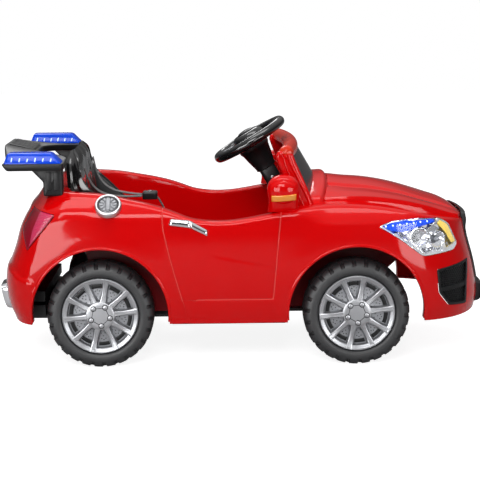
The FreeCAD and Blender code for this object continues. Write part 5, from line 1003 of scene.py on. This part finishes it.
# Painted shade: thin black plates along the five-sided groove and round each stud stand for the shade in
# them.
groove_shade = join(ring_plate(rounded(CORNERS * 1.02, 2.5), 1.2, 36.8, 38.0, 0.35),
               *[moved(groove, (x, 0, z)) for x, z in CORNERS])
spokes = join(*[spoke(a) for a in SPOKES])


def arc_plate(inner, outer, middle, sweep, low, high):
    """A curved slot as a plate: an arc at one radius out and another back, with rounded ends."""
    turn = np.radians(np.linspace(middle - sweep, middle + sweep, 14))
    ring = np.vstack([np.c_[outer * np.cos(turn), outer * np.sin(turn)],
                      np.c_[inner * np.cos(turn), inner * np.sin(turn)][::-1]])
    return block(ring, low, high, bevel=0.7, steps=3)


gaps = [(a + b) / 2 for a, b in zip(SPOKES, SPOKES[1:] + [SPOKES[0] + 360])]
slots = join(*[arc_plate(58.5, 67.0, a, 10.5, 22, 24.3) for a in gaps])
dot = spun([(0, 0.35), (1.0, 0.3), (1.25, 0)], 10)
dots = join(*[moved(dot, (d * np.cos(np.radians(a + t)), 22.75, d * np.sin(np.radians(a + t))))
              for a in gaps for d, t in ((52, -5), (52, 5), (46, 0), (40, -6), (40, 6), (54.5, 0))])


def on_axle(part, x):
    """A wheel part moved from the origin to its axle on the left."""
    return moved(part, (x, WHEEL_Y, AXLE_Z))


for end, x in (("rear", REAR_AXLE), ("front", FRONT_AXLE)):
    for hand, turn_over in HANDS:
        body = end + "_" + hand
        piece(body + "_tyre", turn_over(on_axle(tyre, x)), CHARCOAL, body, [end + "_wheel_" + hand],
              sharp=40)
        cap = join(rim, boss, studs, spokes)
        piece(body + "_cap", turn_over(on_axle(cap, x)), SILVER, body, [end + "_hubcap_" + hand],
              sharp=34)
        piece(body + "_cap_dish", turn_over(on_axle(dish, x)), SILVER_DARK, body)
        piece(body + "_cap_slots_and_groove_shade", turn_over(on_axle(join(slots, dots, groove_shade), x)), BLACK, body)

# %% [markdown]
# ## Lamps and trim on the skin
# A lamp, a grille or a handle has to follow the skin it sits in, so it is not modelled on its own. Its
# outline is drawn in the side view or the end view, filled with a fine grid, and every point is put on
# the skin plus a lift. The lift is a formula of the distance in from the outline's edge: a quarter circle
# rounds a rim, a step makes a wall.

# %% Sheets laid on the skin
def end_x(y, z, end):
    """x of the nose (end 1) or the tail (end -1) at a place in the end view."""
    tip, bend, power = (NOSE_AT, NOSE_ROUND, NOSE_POWER) if end > 0 else (TAIL_AT, TAIL_ROUND, TAIL_POWER)
    share = np.clip(np.abs(y) / smooth_curve(z, LEVEL_Z, HALF_AT), 0, 1)
    return end * (smooth_curve(z, LEVEL_Z, tip) - bend + bend * (1 - share ** power) ** (1 / power))


def patch(outline, lift, step=1.5, end=0):
    """A sheet over an outline: end 0 is the left side seen in x and z, 1 the nose and -1 the tail seen in
    y and z. lift(e, a, z) is the height over the skin; e is the distance in from the edge and a the
    first axis."""
    low, high = outline.min(0) - 2 * step, outline.max(0) + 3 * step
    a, z = np.meshgrid(np.arange(low[0], high[0], step), np.arange(low[1], high[1], step), indexing="ij")
    flat = np.stack([a, 0 * a, z] if end == 0 else [0 * a, a, z], axis=-1)
    outside = beyond(outline, (0, 2) if end == 0 else (1, 2))
    points, faces = clip(grid(flat), lambda p: -outside(p))
    e, a, z = np.maximum(-outside(points), 0), points[:, 0 if end == 0 else 1].copy(), points[:, 2]
    if end == 0:
        points[:, 1] = skin_y(a, z) + lift(e, a, z)
    else:
        points[:, 0] = end_x(a, z, end) + end * lift(e, a, z)
    return points, (faces if end > 0 else [face[::-1] for face in faces])


def dome(e, width):
    """A quarter circle from 0 at the edge to 1 at width."""
    t = np.clip(e / width, 0, 1)
    return np.sqrt(t * (2 - t))


def bead_at(path, radius, lift, count=14):
    """Small round buttons on the skin at places (x, z)."""
    made = []
    for x, z in path:
        dot = spun([(0, radius * 0.6), (radius * 0.6, radius * 0.5), (radius * 0.95, radius * 0.2),
                    (radius, -radius)], count)
        made.append(moved(dot, (x, skin_at(x, z) + lift, z)))
    return join(*made)


print("skin sheets ready")

# %% Headlights
chance = np.random.default_rng(11)
CELLS = chance.uniform((288, 234), (456, 314), (40, 2))
TILT = chance.uniform(-0.34, 0.34, (40, 2))
CUPS = np.array([(366.0, 275.0, 18.0), (407.0, 266.0, 17.0)])


def reflector(e, x, z):
    """A tray whose floor is broken into flat tilted facets, with two round bowls pressed into it."""
    nearest = np.argmin((x[:, None] - CELLS[:, 0]) ** 2 + (z[:, None] - CELLS[:, 1]) ** 2, axis=1)
    tilt = (x - CELLS[nearest, 0]) * TILT[nearest, 0] + (z - CELLS[nearest, 1]) * TILT[nearest, 1]
    floor = -2.6 - 11 * step_up(e, 0, 15) + np.clip(tilt, -6, 6) * step_up(e, 0, 10)
    for cx, cz, radius in CUPS:
        d = np.hypot(x - cx, z - cz) / radius
        floor = np.where(d < 1, -8 - 11 * (1 - d ** 2), np.where(d < 1.12, -7.0, floor))
    return np.minimum(floor, -2.6)


LAMP = shrunk(HEADLIGHT, 0.9)
STRIP = rounded([(283, 300), (299, 306), (322, 311), (399, 312), (402, 303), (374, 298), (331, 286),
                 (307, 289)], 4)
CORNER = rounded([(409, 310), (432, 296), (454, 254), (441, 253), (424, 281), (406, 300)], 4)
bowl = thick(patch(LAMP, reflector, 1.3), 1.6)
strip = thick(patch(STRIP, lambda e, x, z: -6.2 + 3.6 * dome(e, 5)), 2.0)
corner = thick(patch(CORNER, lambda e, x, z: -6.0 + 3.4 * dome(e, 5) + 0.35 * np.sin(z * 1.6)), 2.0)
lens = thick(patch(LAMP, lambda e, x, z: -0.6 + 1.6 * dome(e, 7), 2.0), 1.5)
bulbs = join(*[moved(spun([(0, -8), (3.2, -8.6), (5.2, -11), (5.6, -15), (5.2, -20)], 20),
                     (cx, skin_at(cx, cz), cz)) for cx, cz in CUPS[:, :2]])
sparks = bead_at([(294 + 14.8 * k, 299.5 + 7.5 * np.sin(k * 0.24)) for k in range(7)], 2.1, -2.7)
for hand, turn_over in HANDS:
    piece("headlight_bowl_" + hand, turn_over(bowl), CHROME, stands_for=["headlight_bowl_" + hand],
          sharp=16)
    piece("headlight_lens_" + hand, turn_over(lens), CLEAR, stands_for=["headlight_lens_" + hand])
piece("headlight_strips", both_sides(strip), BLUE, stands_for=["headlight_strips"])
piece("headlight_sparks", both_sides(sparks), SPARK)
piece("headlight_corners", both_sides(corner), YELLOW, sharp=60)
piece("headlight_bulbs", both_sides(bulbs), SILVER_DARK)

# %% Tail lamps
tail_edge = shrunk(TAILLIGHT, 0.9)
ribbed = rounded([(-433, 336.5), (-402, 330.5), (-457, 262), (-450, 296)], 4)
band = thick(patch(tail_edge, lambda e, x, z: -1.6 + 2.4 * dome(e, 4)), 3.0)
fan = thick(patch(ribbed, lambda e, x, z: -0.5 + 3.0 * dome(e, 5)
                  + 0.45 * np.sin((z - 0.3 * x) * 1.25) * step_up(e, 1, 3), 1.2), 2.5)
for hand, turn_over in HANDS:
    piece("taillight_" + hand, turn_over(band), LAMP_RED, stands_for=["taillight_" + hand])
    piece("taillight_fan_" + hand, turn_over(fan), LAMP_PINK, sharp=60)

# %% Bumper intakes, grille and guard
def pocket(e, x, z):
    """A rounded rim, a wall down to a ribbed floor, and a bar across."""
    rim = 2.0 * dome(e, 2.4)
    floor = -8.5 + 1.1 * np.sin((x + 0.55 * z) * 1.3)
    bar = 1 - step_up(np.abs(z - 161 - (x - 440) * 0.04), 4.0, 5.6)
    inner = floor + (0.4 - floor) * bar
    return rim + (inner - rim) * step_up(e, 5.2, 7.0)


def grille_face(e, y, z):
    """A proud frame round seven bars, with a fine diamond mesh behind them."""
    frame_top = (4.0 + 5.0 * step_up(z, 268, 292)) * dome(e, 4.0)
    row = (z - 161) / (286 - 161) * 7
    bar = 1 - step_up(np.abs(row % 1 - 0.5), 0.16, 0.24)
    mesh = np.maximum(np.cos((y + z) * 0.7), np.cos((y - z) * 0.7))
    inner = -8.5 + 2.2 * step_up(mesh, 0.75, 0.95) + bar * 9.2
    return frame_top + (inner - frame_top) * step_up(e, 8.2, 9.8)


GRILLE_EDGE = rounded([(101, 304), (118, 264), (88.5, 152.8), (-88.5, 152.8), (-118, 264), (-101, 304)], 6)
for hand, turn_over in HANDS:
    piece("bumper_intake_" + hand, turn_over(thick(patch(shrunk(INTAKE, 0.8), pocket, 1.1), 1.8)), BLACK,
          stands_for=["bumper_intake_" + hand], sharp=40)
piece("front_grille", thick(patch(GRILLE_EDGE, grille_face, 1.15, end=1), 1.8), BLACK_GLOSS,
      stands_for=["front_grille"], sharp=40)
GUARD = rounded([(113, 105), (89, 144), (-89, 144), (-113, 105)], 6)
guard = patch(GUARD, lambda e, y, z: -1 + 15.5 * dome(e, 12)
              - 2.2 * np.exp(-((z - 124) / 2.2) ** 2) * step_up(e, 4, 8), 1.5, end=1)
piece("nose_guard", thick(guard, 2.4), BLACK, stands_for=["nose_guard"], sharp=40)

# %% Rear trim and tail pipe tips
TRIM = rounded([(186, 103), (173, 188), (-173, 188), (-186, 103)], 8)
trim = patch(TRIM, lambda e, y, z: -1 + 4.6 * dome(e, 4)
             - 1.4 * step_up(e, 12, 14) * (0.5 + 0.5 * np.sin(z * 0.9)), 1.8, end=-1)
piece("rear_trim", thick(trim, 2.0), BLACK, stands_for=["rear_trim"], sharp=40)
TIP = rounded([(61, 105), (139, 105), (139, 161), (61, 161)], 14)
tip = patch(TIP, lambda e, y, z: 3.6 + 14 * dome(e, 3) - 13 * step_up(e, 6.4, 8), 1.2, end=-1)
piece("exhaust_tips", both_sides(thick(tip, 2.0)), CHROME, stands_for=["exhaust_tips"],
      sharp=40)

# %% Door handles and filler cap
HANDLE = rounded([(-163, 306), (-159, 322), (-117, 317), (-78, 297), (-80, 282), (-116, 300)], 5)
handle = patch(HANDLE, lambda e, x, z: -1.5 + 8.3 * dome(e, 6)
               - 2.4 * np.exp(-((x + 117 + (z - 308) * 0.3) / 1.3) ** 2), 1.1)
for hand, turn_over in HANDS:
    piece("door_handle_" + hand, turn_over(thick(handle, 2.0)), CHROME, stands_for=["door_handle_" + hand],
          sharp=50)
at = np.array([-288.0, -skin_at(-288.0, 346.0), 346.0])
ring = spun([(28, -6), (28, 2.5), (27.3, 4.6), (25.6, 5.8), (23.6, 5.6), (22.4, 4.2), (22, 2.2),
             (22, -6)], 72, axis="z", closed=True)
plate = spun([(0, 4.6), (8, 4.5), (15, 3.8), (18.4, 2.9), (19.6, 1.6), (19.8, -8)], 72, axis="z")
grips = join(*[turned(block(rounded([(8, -2.2), (18.5, -3.4), (18.5, 3.4), (8, 2.2)], 1.5), 0, 6.2,
                            bevel=1.1, plane="xy"), "Z", 30 * k) for k in range(12)])
knob = block(rounded([(-5.5, -16), (5.5, -16), (5.5, 16), (-5.5, 16)], 4), 0, 8.4, bevel=2.4, plane="xy")
# Painted shade: a black ring fills the gap between the plate and the ring.
gap_shade = spun([(22.2, 1.4), (19.6, 1.2), (19.6, -8), (22.2, -8)], 72, axis="z", closed=True)


def on_shoulder(part):
    """A cap part leant back and moved to its place on the right rear shoulder."""
    return moved(turned(moved(part, (0, 0, 3.5)), "X", 44), at)


piece("fuel_cap", on_shoulder(ring), STEEL, stands_for=["fuel_cap"], sharp=40)
piece("fuel_cap_grip", on_shoulder(join(plate, grips, knob)), SILVER_DARK, sharp=40)
piece("fuel_cap_gap_shade", on_shoulder(gap_shade), BLACK)

# %% Mirrors
u = np.linspace(0, 2 * np.pi, 73)[:-1, None]
v = np.linspace(-np.pi / 2, np.pi / 2, 37)[None]


def softer(value, power):
    """The size raised to a power with its sign kept: below 1 it squares a circle off."""
    return np.sign(value) * np.abs(value) ** power


pod = np.stack([34.5 * softer(np.cos(v), 0.88) * softer(np.cos(u), 0.9),
                28 * softer(np.cos(v), 0.88) * softer(np.sin(u), 0.9),
                32 * softer(np.sin(v), 0.92) + 0 * u], axis=-1)
visor = np.abs(np.hypot(pod[..., 0] / 33, (pod[..., 2] + 4) / 25) - 1)
pod[..., 1] -= np.where(pod[..., 1] > 8, 1.6 * np.exp(-(visor / 0.06) ** 2), 0)
pod = grid(pod, wrap_u=True)
foot = np.array([np.c_[rounded([(-w, -d), (w, -d), (w, d), (-w, d)], d * 0.95), np.full(24, z)]
                 + (0, shift, 0) for w, d, z, shift in ((34, 17, -47, -16), (31.5, 19, -34, -9),
                                                        (32, 22, -18, -3), (33.5, 24, -6, 0))])
ix, iz = np.meshgrid(np.linspace(-26, 26, 64), np.linspace(-22, -8, 20), indexing="ij")
in_from = np.minimum(26 - np.abs(ix), 7 - np.abs(iz + 15))
iy = 28 * (1 - np.abs(ix / 39) ** 2.4 - np.abs(iz / 30) ** 2.4) ** (1 / 2.4) - 1.5 + 3.2 * dome(in_from, 2.2)
amber = thick(grid(np.stack([ix, iy, iz + 0.06 * ix], axis=-1)), -2.0)
mirror_at = (80, 252, 378)
for hand, turn_over in HANDS:
    piece("side_mirror_" + hand, turn_over(moved(join(pod, capped(foot)), mirror_at)), RED,
          stands_for=["side_mirror_" + hand], sharp=40)
piece("mirror_indicators", both_sides(moved(amber, mirror_at)), AMBER, stands_for=["mirror_indicators"])

# %% [markdown]
# ## Light bar
# Behind the seat, two posts carry a bridge with a blue pod at each end. The bridge is a gull wing: a flat
# plate in the middle and two arms that slope down to the pods. Its section changes along y, so it is a
# row of rings, each one a rounded four-sided outline between a rear and a front edge. A pod is a stack of
# rounded rectangles.

# %% Bridge, pod bases and posts
def tub(levels):
    """A stack of rounded rectangles; each level is height, x from and to, y from and to, corner size."""
    rings = [np.c_[rounded([(x0, y0), (x1, y0), (x1, y1), (x0, y1)], r), np.full(24, z)]
             for z, x0, x1, y0, y1, r in levels]
    return capped(np.array(rings))


PLATE_REAR, PLATE_FRONT, POD_REAR, POD_FRONT = (-526, 462), (-456, 445), (-509, 436), (-383, 436)
stations = np.linspace(-198, 198, 89)
arm = step_up(np.abs(stations), 62, 196)[:, None]
reach = step_up(np.abs(stations), 40, 150)[:, None]
rear = np.array(PLATE_REAR) * (1 - arm) + np.array(POD_REAR) * arm
front = np.c_[PLATE_FRONT[0] * (1 - reach) + POD_FRONT[0] * reach,
              PLATE_FRONT[1] * (1 - arm) + POD_FRONT[1] * arm]
rings = []
for y, back, fore in zip(stations, rear, front):
    ring = rounded([back, fore, fore - (0, 14.5), back - (0, 14.5)], 4, 5)
    rings.append(np.c_[ring[:, 0], np.full(len(ring), y), ring[:, 1]])
bridge = capped(np.array(rings))
inlay = []
for y in np.linspace(-64, 64, 33):
    back, fore = np.array(PLATE_REAR) + (9, -2.2), np.array(PLATE_FRONT) + (-9, 2.2)
    ring = rounded([back + (0, 2.4), fore + (0, 2.4), fore - (0, 3), back - (0, 3)], 1.6, 4)
    inlay.append(np.c_[ring[:, 0], np.full(len(ring), y), ring[:, 1]])
ribs = join(*[along(np.array([(-516, y, 461), (-462, y, 447.4)]), circle(2.2, 10))
              for y in (-40, -20, 0, 20, 40)])
base = tub([(422, -499, -383, 199, 244, 6), (424, -502, -382, 197.6, 245.4, 7),
            (429, -506, -381.4, 197, 246, 8), (434.5, -509.4, -381.2, 197, 246, 8),
            (436.6, -509, -382, 198, 245, 8), (437, -507, -384, 200, 243, 7)])
POST = rounded([(-426, 366), (-385, 366), (-385, 431), (-452, 431), (-452, 423), (-426, 396)], 4)
post = block(POST, 197.5, 227, bevel=4)
flute = join(*[block(rounded([(x, 378), (x + 11, 378), (x + 11, 418), (x, 418)], 3), 226, 228.2, bevel=1.0)
               for x in (-419, -403)])
bar_frame = join(bridge, capped(np.array(inlay)), ribs, both_sides(join(base, post, flute)))
piece("light_bar_frame", bar_frame, BLACK, stands_for=["light_bar_frame"], sharp=36)

# %% Blue lenses and their light marks
lens = tub([(437.2, -505, -386, 197.6, 245.4, 5), (440, -504.6, -387.4, 197.8, 245.2, 5),
            (455.6, -498.4, -402.4, 201.2, 241.8, 5), (457.8, -497.2, -405.0, 202.6, 240.4, 5),
            (459, -494.6, -408.4, 205.4, 237.6, 5), (459.2, -490, -413, 210, 233, 4)])
ridge_top = join(*[along(np.array([(x, 207, 458.6), (x, 236, 458.6)]), circle(1.1, 8))
                   for x in np.arange(-486, -415, 9.5)])
marks = []
for place in range(6):
    x = -489 + 16.4 * place
    tall = (8.5, 7.6, 6.6, 8.2, 7.2, 6.2)[place]
    for foot_y, head_y in ((245.5, 243.6), (197.5, 199.4)):
        marks.append(along(np.array([(x, foot_y, 441.5),
                                     (x + 0.8, (foot_y + head_y) / 2, 441.5 + tall / 2),
                                     (x + 1.6, head_y, 441.5 + tall)]), circle(1.25, 10)))
marks = join(*marks)
for hand, turn_over in HANDS:
    piece("light_pod_lens_" + hand, turn_over(join(lens, ridge_top)), BLUE,
          stands_for=["light_pod_lens_" + hand])
piece("light_pod_marks", both_sides(marks), SPARK)

# %% [markdown]
# ## Seat and harness
# The bucket seat is one moulded sheet. Down its middle it follows the sitting line; towards the sides it
# climbs to the wing's edge, rolls over and comes down outside. Both lines are tables in the side view, so
# a point of the seat is a blend of the two, and the blend is an S over the width. The straps are flat
# webbing with a woven face.

# %% Seat
SITTING = [(-143, 222), (-200, 216), (-262, 211), (-306, 210), (-328, 224), (-337, 262), (-343, 310),
           (-347, 352), (-352, 408), (-360, 443), (-370, 453)]
EDGE = [(-147, 229), (-200, 240), (-238, 264), (-262, 291), (-285, 317), (-318, 351), (-337, 369),
        (-350, 388), (-356, 412), (-362, 438), (-371, 452)]
BACK = [(-151, 212), (-200, 206), (-262, 200), (-300, 199), (-332, 206), (-346, 226), (-362, 266),
        (-374, 310), (-384, 390), (-386, 424), (-379, 449)]
count = 90
middle, wing, back = [curve_through(line, count)[:, None] for line in (SITTING, EDGE, BACK)]
s = np.linspace(0, 1, 40)[None, :, None]
climb = step_up(s, 0.50, 1.0) ** 1.25
half = smooth_curve(np.linspace(0, 1, count), [0, 0.5, 0.75, 0.86, 0.95, 1],
                    [146, 146, 145, 138, 118, 92])[:, None, None]
across = middle + (wing - middle) * climb
fade = np.sin(np.linspace(0, np.pi, count))[:, None, None] ** 0.5
ribs = 2.2 * np.cos(s * 9.5) * (1 - step_up(s, 0.42, 0.5)) * fade
lean = np.stack([-np.gradient(middle[:, 0, 1]), np.gradient(middle[:, 0, 0])], axis=1)
lean = -lean / np.linalg.norm(lean, axis=1)[:, None]
across = across + ribs * lean[:, None] * 0.8
inside = np.concatenate([across[..., :1], half * s, across[..., 1:]], axis=-1)
roll = np.linspace(0, np.pi, 9)[None, 1:, None]
normal = (wing - middle) / np.maximum(np.linalg.norm(wing - middle, axis=-1, keepdims=True), 4)
rim = wing + normal * 3.6 * np.sin(roll)
rim = np.concatenate([rim[..., :1], half + 3.6 * (1 - np.cos(roll)) / 2 + 0 * rim[..., :1], rim[..., 1:]],
                     axis=-1)
t = np.linspace(0, 1, 22)[None, 1:, None]
down = wing + (back - wing) * t
upper = step_up(np.linspace(0, 1, count), 0.60, 0.70)[:, None, None]
inset = -1.6 * step_up(t, 0.25, 0.4) * (1 - step_up(t, 0.6, 0.75)) * upper
outer = np.concatenate([down[..., :1], half + 3.6 + inset + 0 * down[..., :1], down[..., 1:]], axis=-1)
sheet = np.concatenate([inside, rim, outer], axis=1)
seat = both_sides(grid(sheet))
skirt = block(rounded([(-151, -136), (-146, -136), (-146, 136), (-151, 136)], 2), 95, 216, bevel=1.0,
              plane="xy")
sides = both_sides(block(rounded([(-290, 132), (-150, 132), (-150, 136), (-290, 136)], 1.6), 95, 208,
                         bevel=0.8, plane="xy"))
piece("seat", join(thick(welded(seat, 0.05), -2.4), skirt, sides), BLACK_GLOSS, stands_for=["seat"],
      sharp=46)

# %% Webbing and buckle
def weave(made, tone, thread):
    """Two crossed sine waves over the webbing's UV: a twill bump, with painted shade between the threads."""
    tree = made.node_tree
    shader = tree.nodes["Principled BSDF"]
    place = node(tree, "ShaderNodeTexCoord")
    warp = node(tree, "ShaderNodeTexWave", Scale=2.2, bands_direction="X")
    weft = node(tree, "ShaderNodeTexWave", Scale=2.2, bands_direction="DIAGONAL")
    both = node(tree, "ShaderNodeMath", operation="MULTIPLY")
    mix = node(tree, "ShaderNodeMix", data_type="RGBA")
    mix.inputs[6].default_value, mix.inputs[7].default_value = (*tone, 1), (*thread, 1)
    bump = node(tree, "ShaderNodeBump", Strength=0.5, Distance=0.0006)
    link = tree.links.new
    for wave in (warp, weft):
        link(place.outputs["UV"], wave.inputs["Vector"])
    link(warp.outputs["Fac"], both.inputs[0])
    link(weft.outputs["Fac"], both.inputs[1])
    link(both.outputs[0], mix.inputs[0])
    link(both.outputs[0], bump.inputs["Height"])
    link(mix.outputs[2], shader.inputs["Base Color"])
    link(bump.outputs["Normal"], shader.inputs["Normal"])


WEBBING = finish("woven_strap", (0.018, 0.018, 0.02), (0.03, 0.03, 0.032), (0.5, 0.7), 900, 0.1, 30,
                 Sheen_Weight=0.3)
# The webbing's weave: painted shade between the threads, lighter thread tops, and a bump.
weave(WEBBING, (0.012, 0.012, 0.013), (0.055, 0.055, 0.058))


def strap(path, width=25.0, depth=1.8):
    """A flat ribbon along a path, its width across the car: two faces and rolled edges as one closed
    profile."""
    path = curve_through(path, 60)
    flat = rounded([(-width / 2, -depth / 2), (width / 2, -depth / 2), (width / 2, depth / 2),
                    (-width / 2, depth / 2)], 0.9, 4)
    run = np.gradient(path, axis=0)
    run = run / np.linalg.norm(run, axis=1)[:, None]
    over = np.cross(run, (0.0, 1.0, 0.0))
    over = over / np.linalg.norm(over, axis=1)[:, None]
    return capped(path[:, None] + flat[None, :, :1] * np.array([0.0, 1, 0])
                  + flat[None, :, 1:] * over[:, None])


shoulder = strap([(-349, 111, 413), (-341, 95, 385), (-325, 72, 359), (-300, 50, 344), (-265, 30, 338),
                  (-230, 13.5, 336)])
lap = strap([(-195, 0, 332), (-181, 0, 306), (-173, 0, 270), (-174, 0, 219)])
straps = piece("harness_straps", join(both_sides(shoulder), lap), WEBBING, stands_for=["harness_straps"])
mesh = straps.data
layer = mesh.uv_layers.new(name="weave")
spots = np.empty(len(mesh.vertices) * 3, np.float32)
mesh.vertices.foreach_get("co", spots)
corner = np.empty(len(mesh.loops), np.int32)
mesh.loops.foreach_get("vertex_index", corner)
spots = spots.reshape(-1, 3)[corner] * 100
woven = np.stack([spots[:, 1] * 4, (spots[:, 2] - spots[:, 0]) * 3], axis=1)
layer.data.foreach_set("uv", woven.astype(np.float32).ravel())
buckle = tub([(328.4, -228, -196, -19, 19, 7), (330, -229, -195, -20, 20, 8), (342, -229, -195, -20, 20, 8),
              (344.6, -226.6, -197.4, -17.6, 17.6, 7), (345, -222, -202, -14, 14, 5)])
catch = tub([(344.4, -217, -207, -11, 11, 3), (346.2, -217, -207, -11, 11, 3),
             (346.8, -215.6, -208.4, -9.6, 9.6, 2)])
piece("harness_buckle", buckle, BLACK, stands_for=["harness_buckle"])
piece("harness_catch", catch, BLACK_GLOSS)

# %% [markdown]
# ## Steering wheel, column and lever
# The wheel is drawn flat round the z axis and then leant back with the column. Its rim is a torus whose
# thickness swells a little at the grips. Three spokes carry pale inlays, and the horn pad in the hub is a
# body of its own.

# %% Steering wheel
COLUMN = np.array([14.378, 0.0, 461.0])


def on_column(part):
    """A steering part leant back and moved to the top of the column."""
    return moved(turned(part, "Y", -31), COLUMN)


u = np.linspace(0, 2 * np.pi, 145)[:-1, None]
v = np.linspace(0, 2 * np.pi, 29)[:-1, None].T
finger = np.maximum(np.cos(22 * u), 0) * (np.cos(v) < -0.4) * (np.abs(np.sin(u)) > 0.5)
grip = 11.2 + 0.5 * np.cos(4 * u) - 0.5 * finger
rim = np.stack([(79 + grip * np.cos(v)) * np.cos(u), (79 + grip * np.cos(v)) * np.sin(u),
                grip * 0.98 * np.sin(v)], axis=-1)
rim = grid(rim, wrap_u=True, wrap_v=True)
hub = spun([(21.2, -2), (21.2, 17.4), (22.4, 18.2), (27, 17.8), (32, 15.6), (36, 11.4), (38.4, 5),
            (38.6, -6), (36, -10), (8.4, -10), (8.4, -4), (21.2, -4)], 72, axis="z", closed=True)
reach = np.linspace(30, 73, 14)
flat = rounded([(-15, -5.4), (15, -5.4), (15, 5.4), (-15, 5.4)], 4, 5)
arm = along(np.c_[reach, 0 * reach, 0 * reach], flat,
            scale=smooth_curve(reach, [30, 45, 60, 73], [1.05, 0.86, 0.80, 0.92]))
plate = block(rounded([(38, -8), (66, -6.2), (66, 6.2), (38, 8)], 4), 4.0, 6.6, bevel=0.9, plane="xy")
wheel = join(rim, hub, *[turned(arm, "Z", a) for a in (90, 180, 270)])
inlays = join(*[turned(plate, "Z", a) for a in (90, 180, 270)])
piece("steering_wheel", on_column(wheel), BLACK_GLOSS, "steering", ["steering_wheel"],
      sharp=40)
piece("steering_inlays", on_column(inlays), SILVER_DARK, "steering")
pad = spun([(0, 23), (9, 22.7), (15, 21.4), (18.6, 19.4), (19.8, 17), (20, 12), (20, 4), (0, 4)], 56,
           axis="z")
piece("horn_button", on_column(pad), BLACK, "horn", ["horn_button"])

# %% Column cover
cone = spun([(36, -16.4), (36, -21), (35, -24), (33, -27), (29, -46), (25, -62), (23.4, -69), (23.4, -73),
             (21, -75), (16, -75), (16, -16.4)], 60, axis="z", closed=True)
turn = np.arange(48) * 2 * np.pi / 48
boxy = np.c_[19 * softer(np.cos(turn), 0.62), 19 * softer(np.sin(turn), 0.62)] * 0.99
hole = circle(16, 48)
tube = np.array([np.c_[ring, np.full(48, z)]
                 for ring, z in ((hole, -74), (boxy * 0.96, -74), (boxy, -76), (boxy, -120),
                                 (boxy * 0.97, -121), (boxy * 0.97, -123), (boxy, -124), (boxy, -200),
                                 (hole, -200))])
tube = grid(tube, wrap_u=True, wrap_v=True)
head = spun([(0, 1.6), (2.6, 1.4), (3.6, 0.4), (3.7, -1.5)], 18, axis="z")
heads = join(*[moved(turned(head, "X", 90 * side), (0, -19.0 * side, -98)) for side in (1, -1)])
piece("column_cover", on_column(join(cone, tube)), BLACK, stands_for=["column_cover"],
      sharp=40)
piece("column_screws", on_column(heads), STEEL)

# %% Lever on the dash
stick = along(np.array([(142.43, 70, 301.98), (112, 70, 302), (92, 70, 302)]), circle(3.9, 20))
sleeve = along(np.array([(106, 70, 302), (102, 70, 302), (92, 70, 302), (86, 70, 302)]), circle(6.2, 24),
               scale=[0.7, 1, 1.1, 1.3])
knob = moved(spun([(0, -10.5), (4, -10.0), (8, -7.4), (10, -3), (10, 2), (8.6, 6), (5, 8.6), (0, 9)], 40,
                  axis="x"), (80.4, 70, 302))
hub = moved(spun([(0, -8), (7, -8), (8, -7), (8, 7), (7, 8), (0, 8)], 36), (142.43, 70, 301.98))
piece("shift_lever", join(stick, hub, knob), BLACK_GLOSS, "lever", ["shift_lever"])
piece("shift_sleeve", sleeve, SILVER, "lever")

# %% [markdown]
# ## What keeps its solid
# The works under the floor are plain rods, gears and boxes, and their solids are already right. They only
# get a finish.

# %% Finishes for the solids that stay
MOTOR_CAN = finish("motor_can", (0.42, 0.43, 0.45), (0.52, 0.53, 0.55), (0.3, 0.45), 1100, 0.06, 24,
                   Metallic=0.9)
# The dashboard takes the red darkened as painted shade.
KEPT = {STEEL: ["steering_shaft", "tie_rod", "front_axle_beam", "knuckle_left", "knuckle_right",
                "rear_axle", "motor_pinion", "floor_screws"], NYLON: ["drive_gear", "idler_gear"],
        BLACK: ["floor_pan", "gearbox_housing", "foot_pedal"], CELL: ["battery"],
        MOTOR_CAN: ["drive_motor"], RED_IN_SHADE: ["dashboard"], RED_BUTTON: ["power_button"]}
for made, names in KEPT.items():
    for name in names:
        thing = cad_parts[name]
        for place in thing.material_slots:
            place.material = made
print(sum(len(names) for names in KEPT.values()), "solids keep their form")
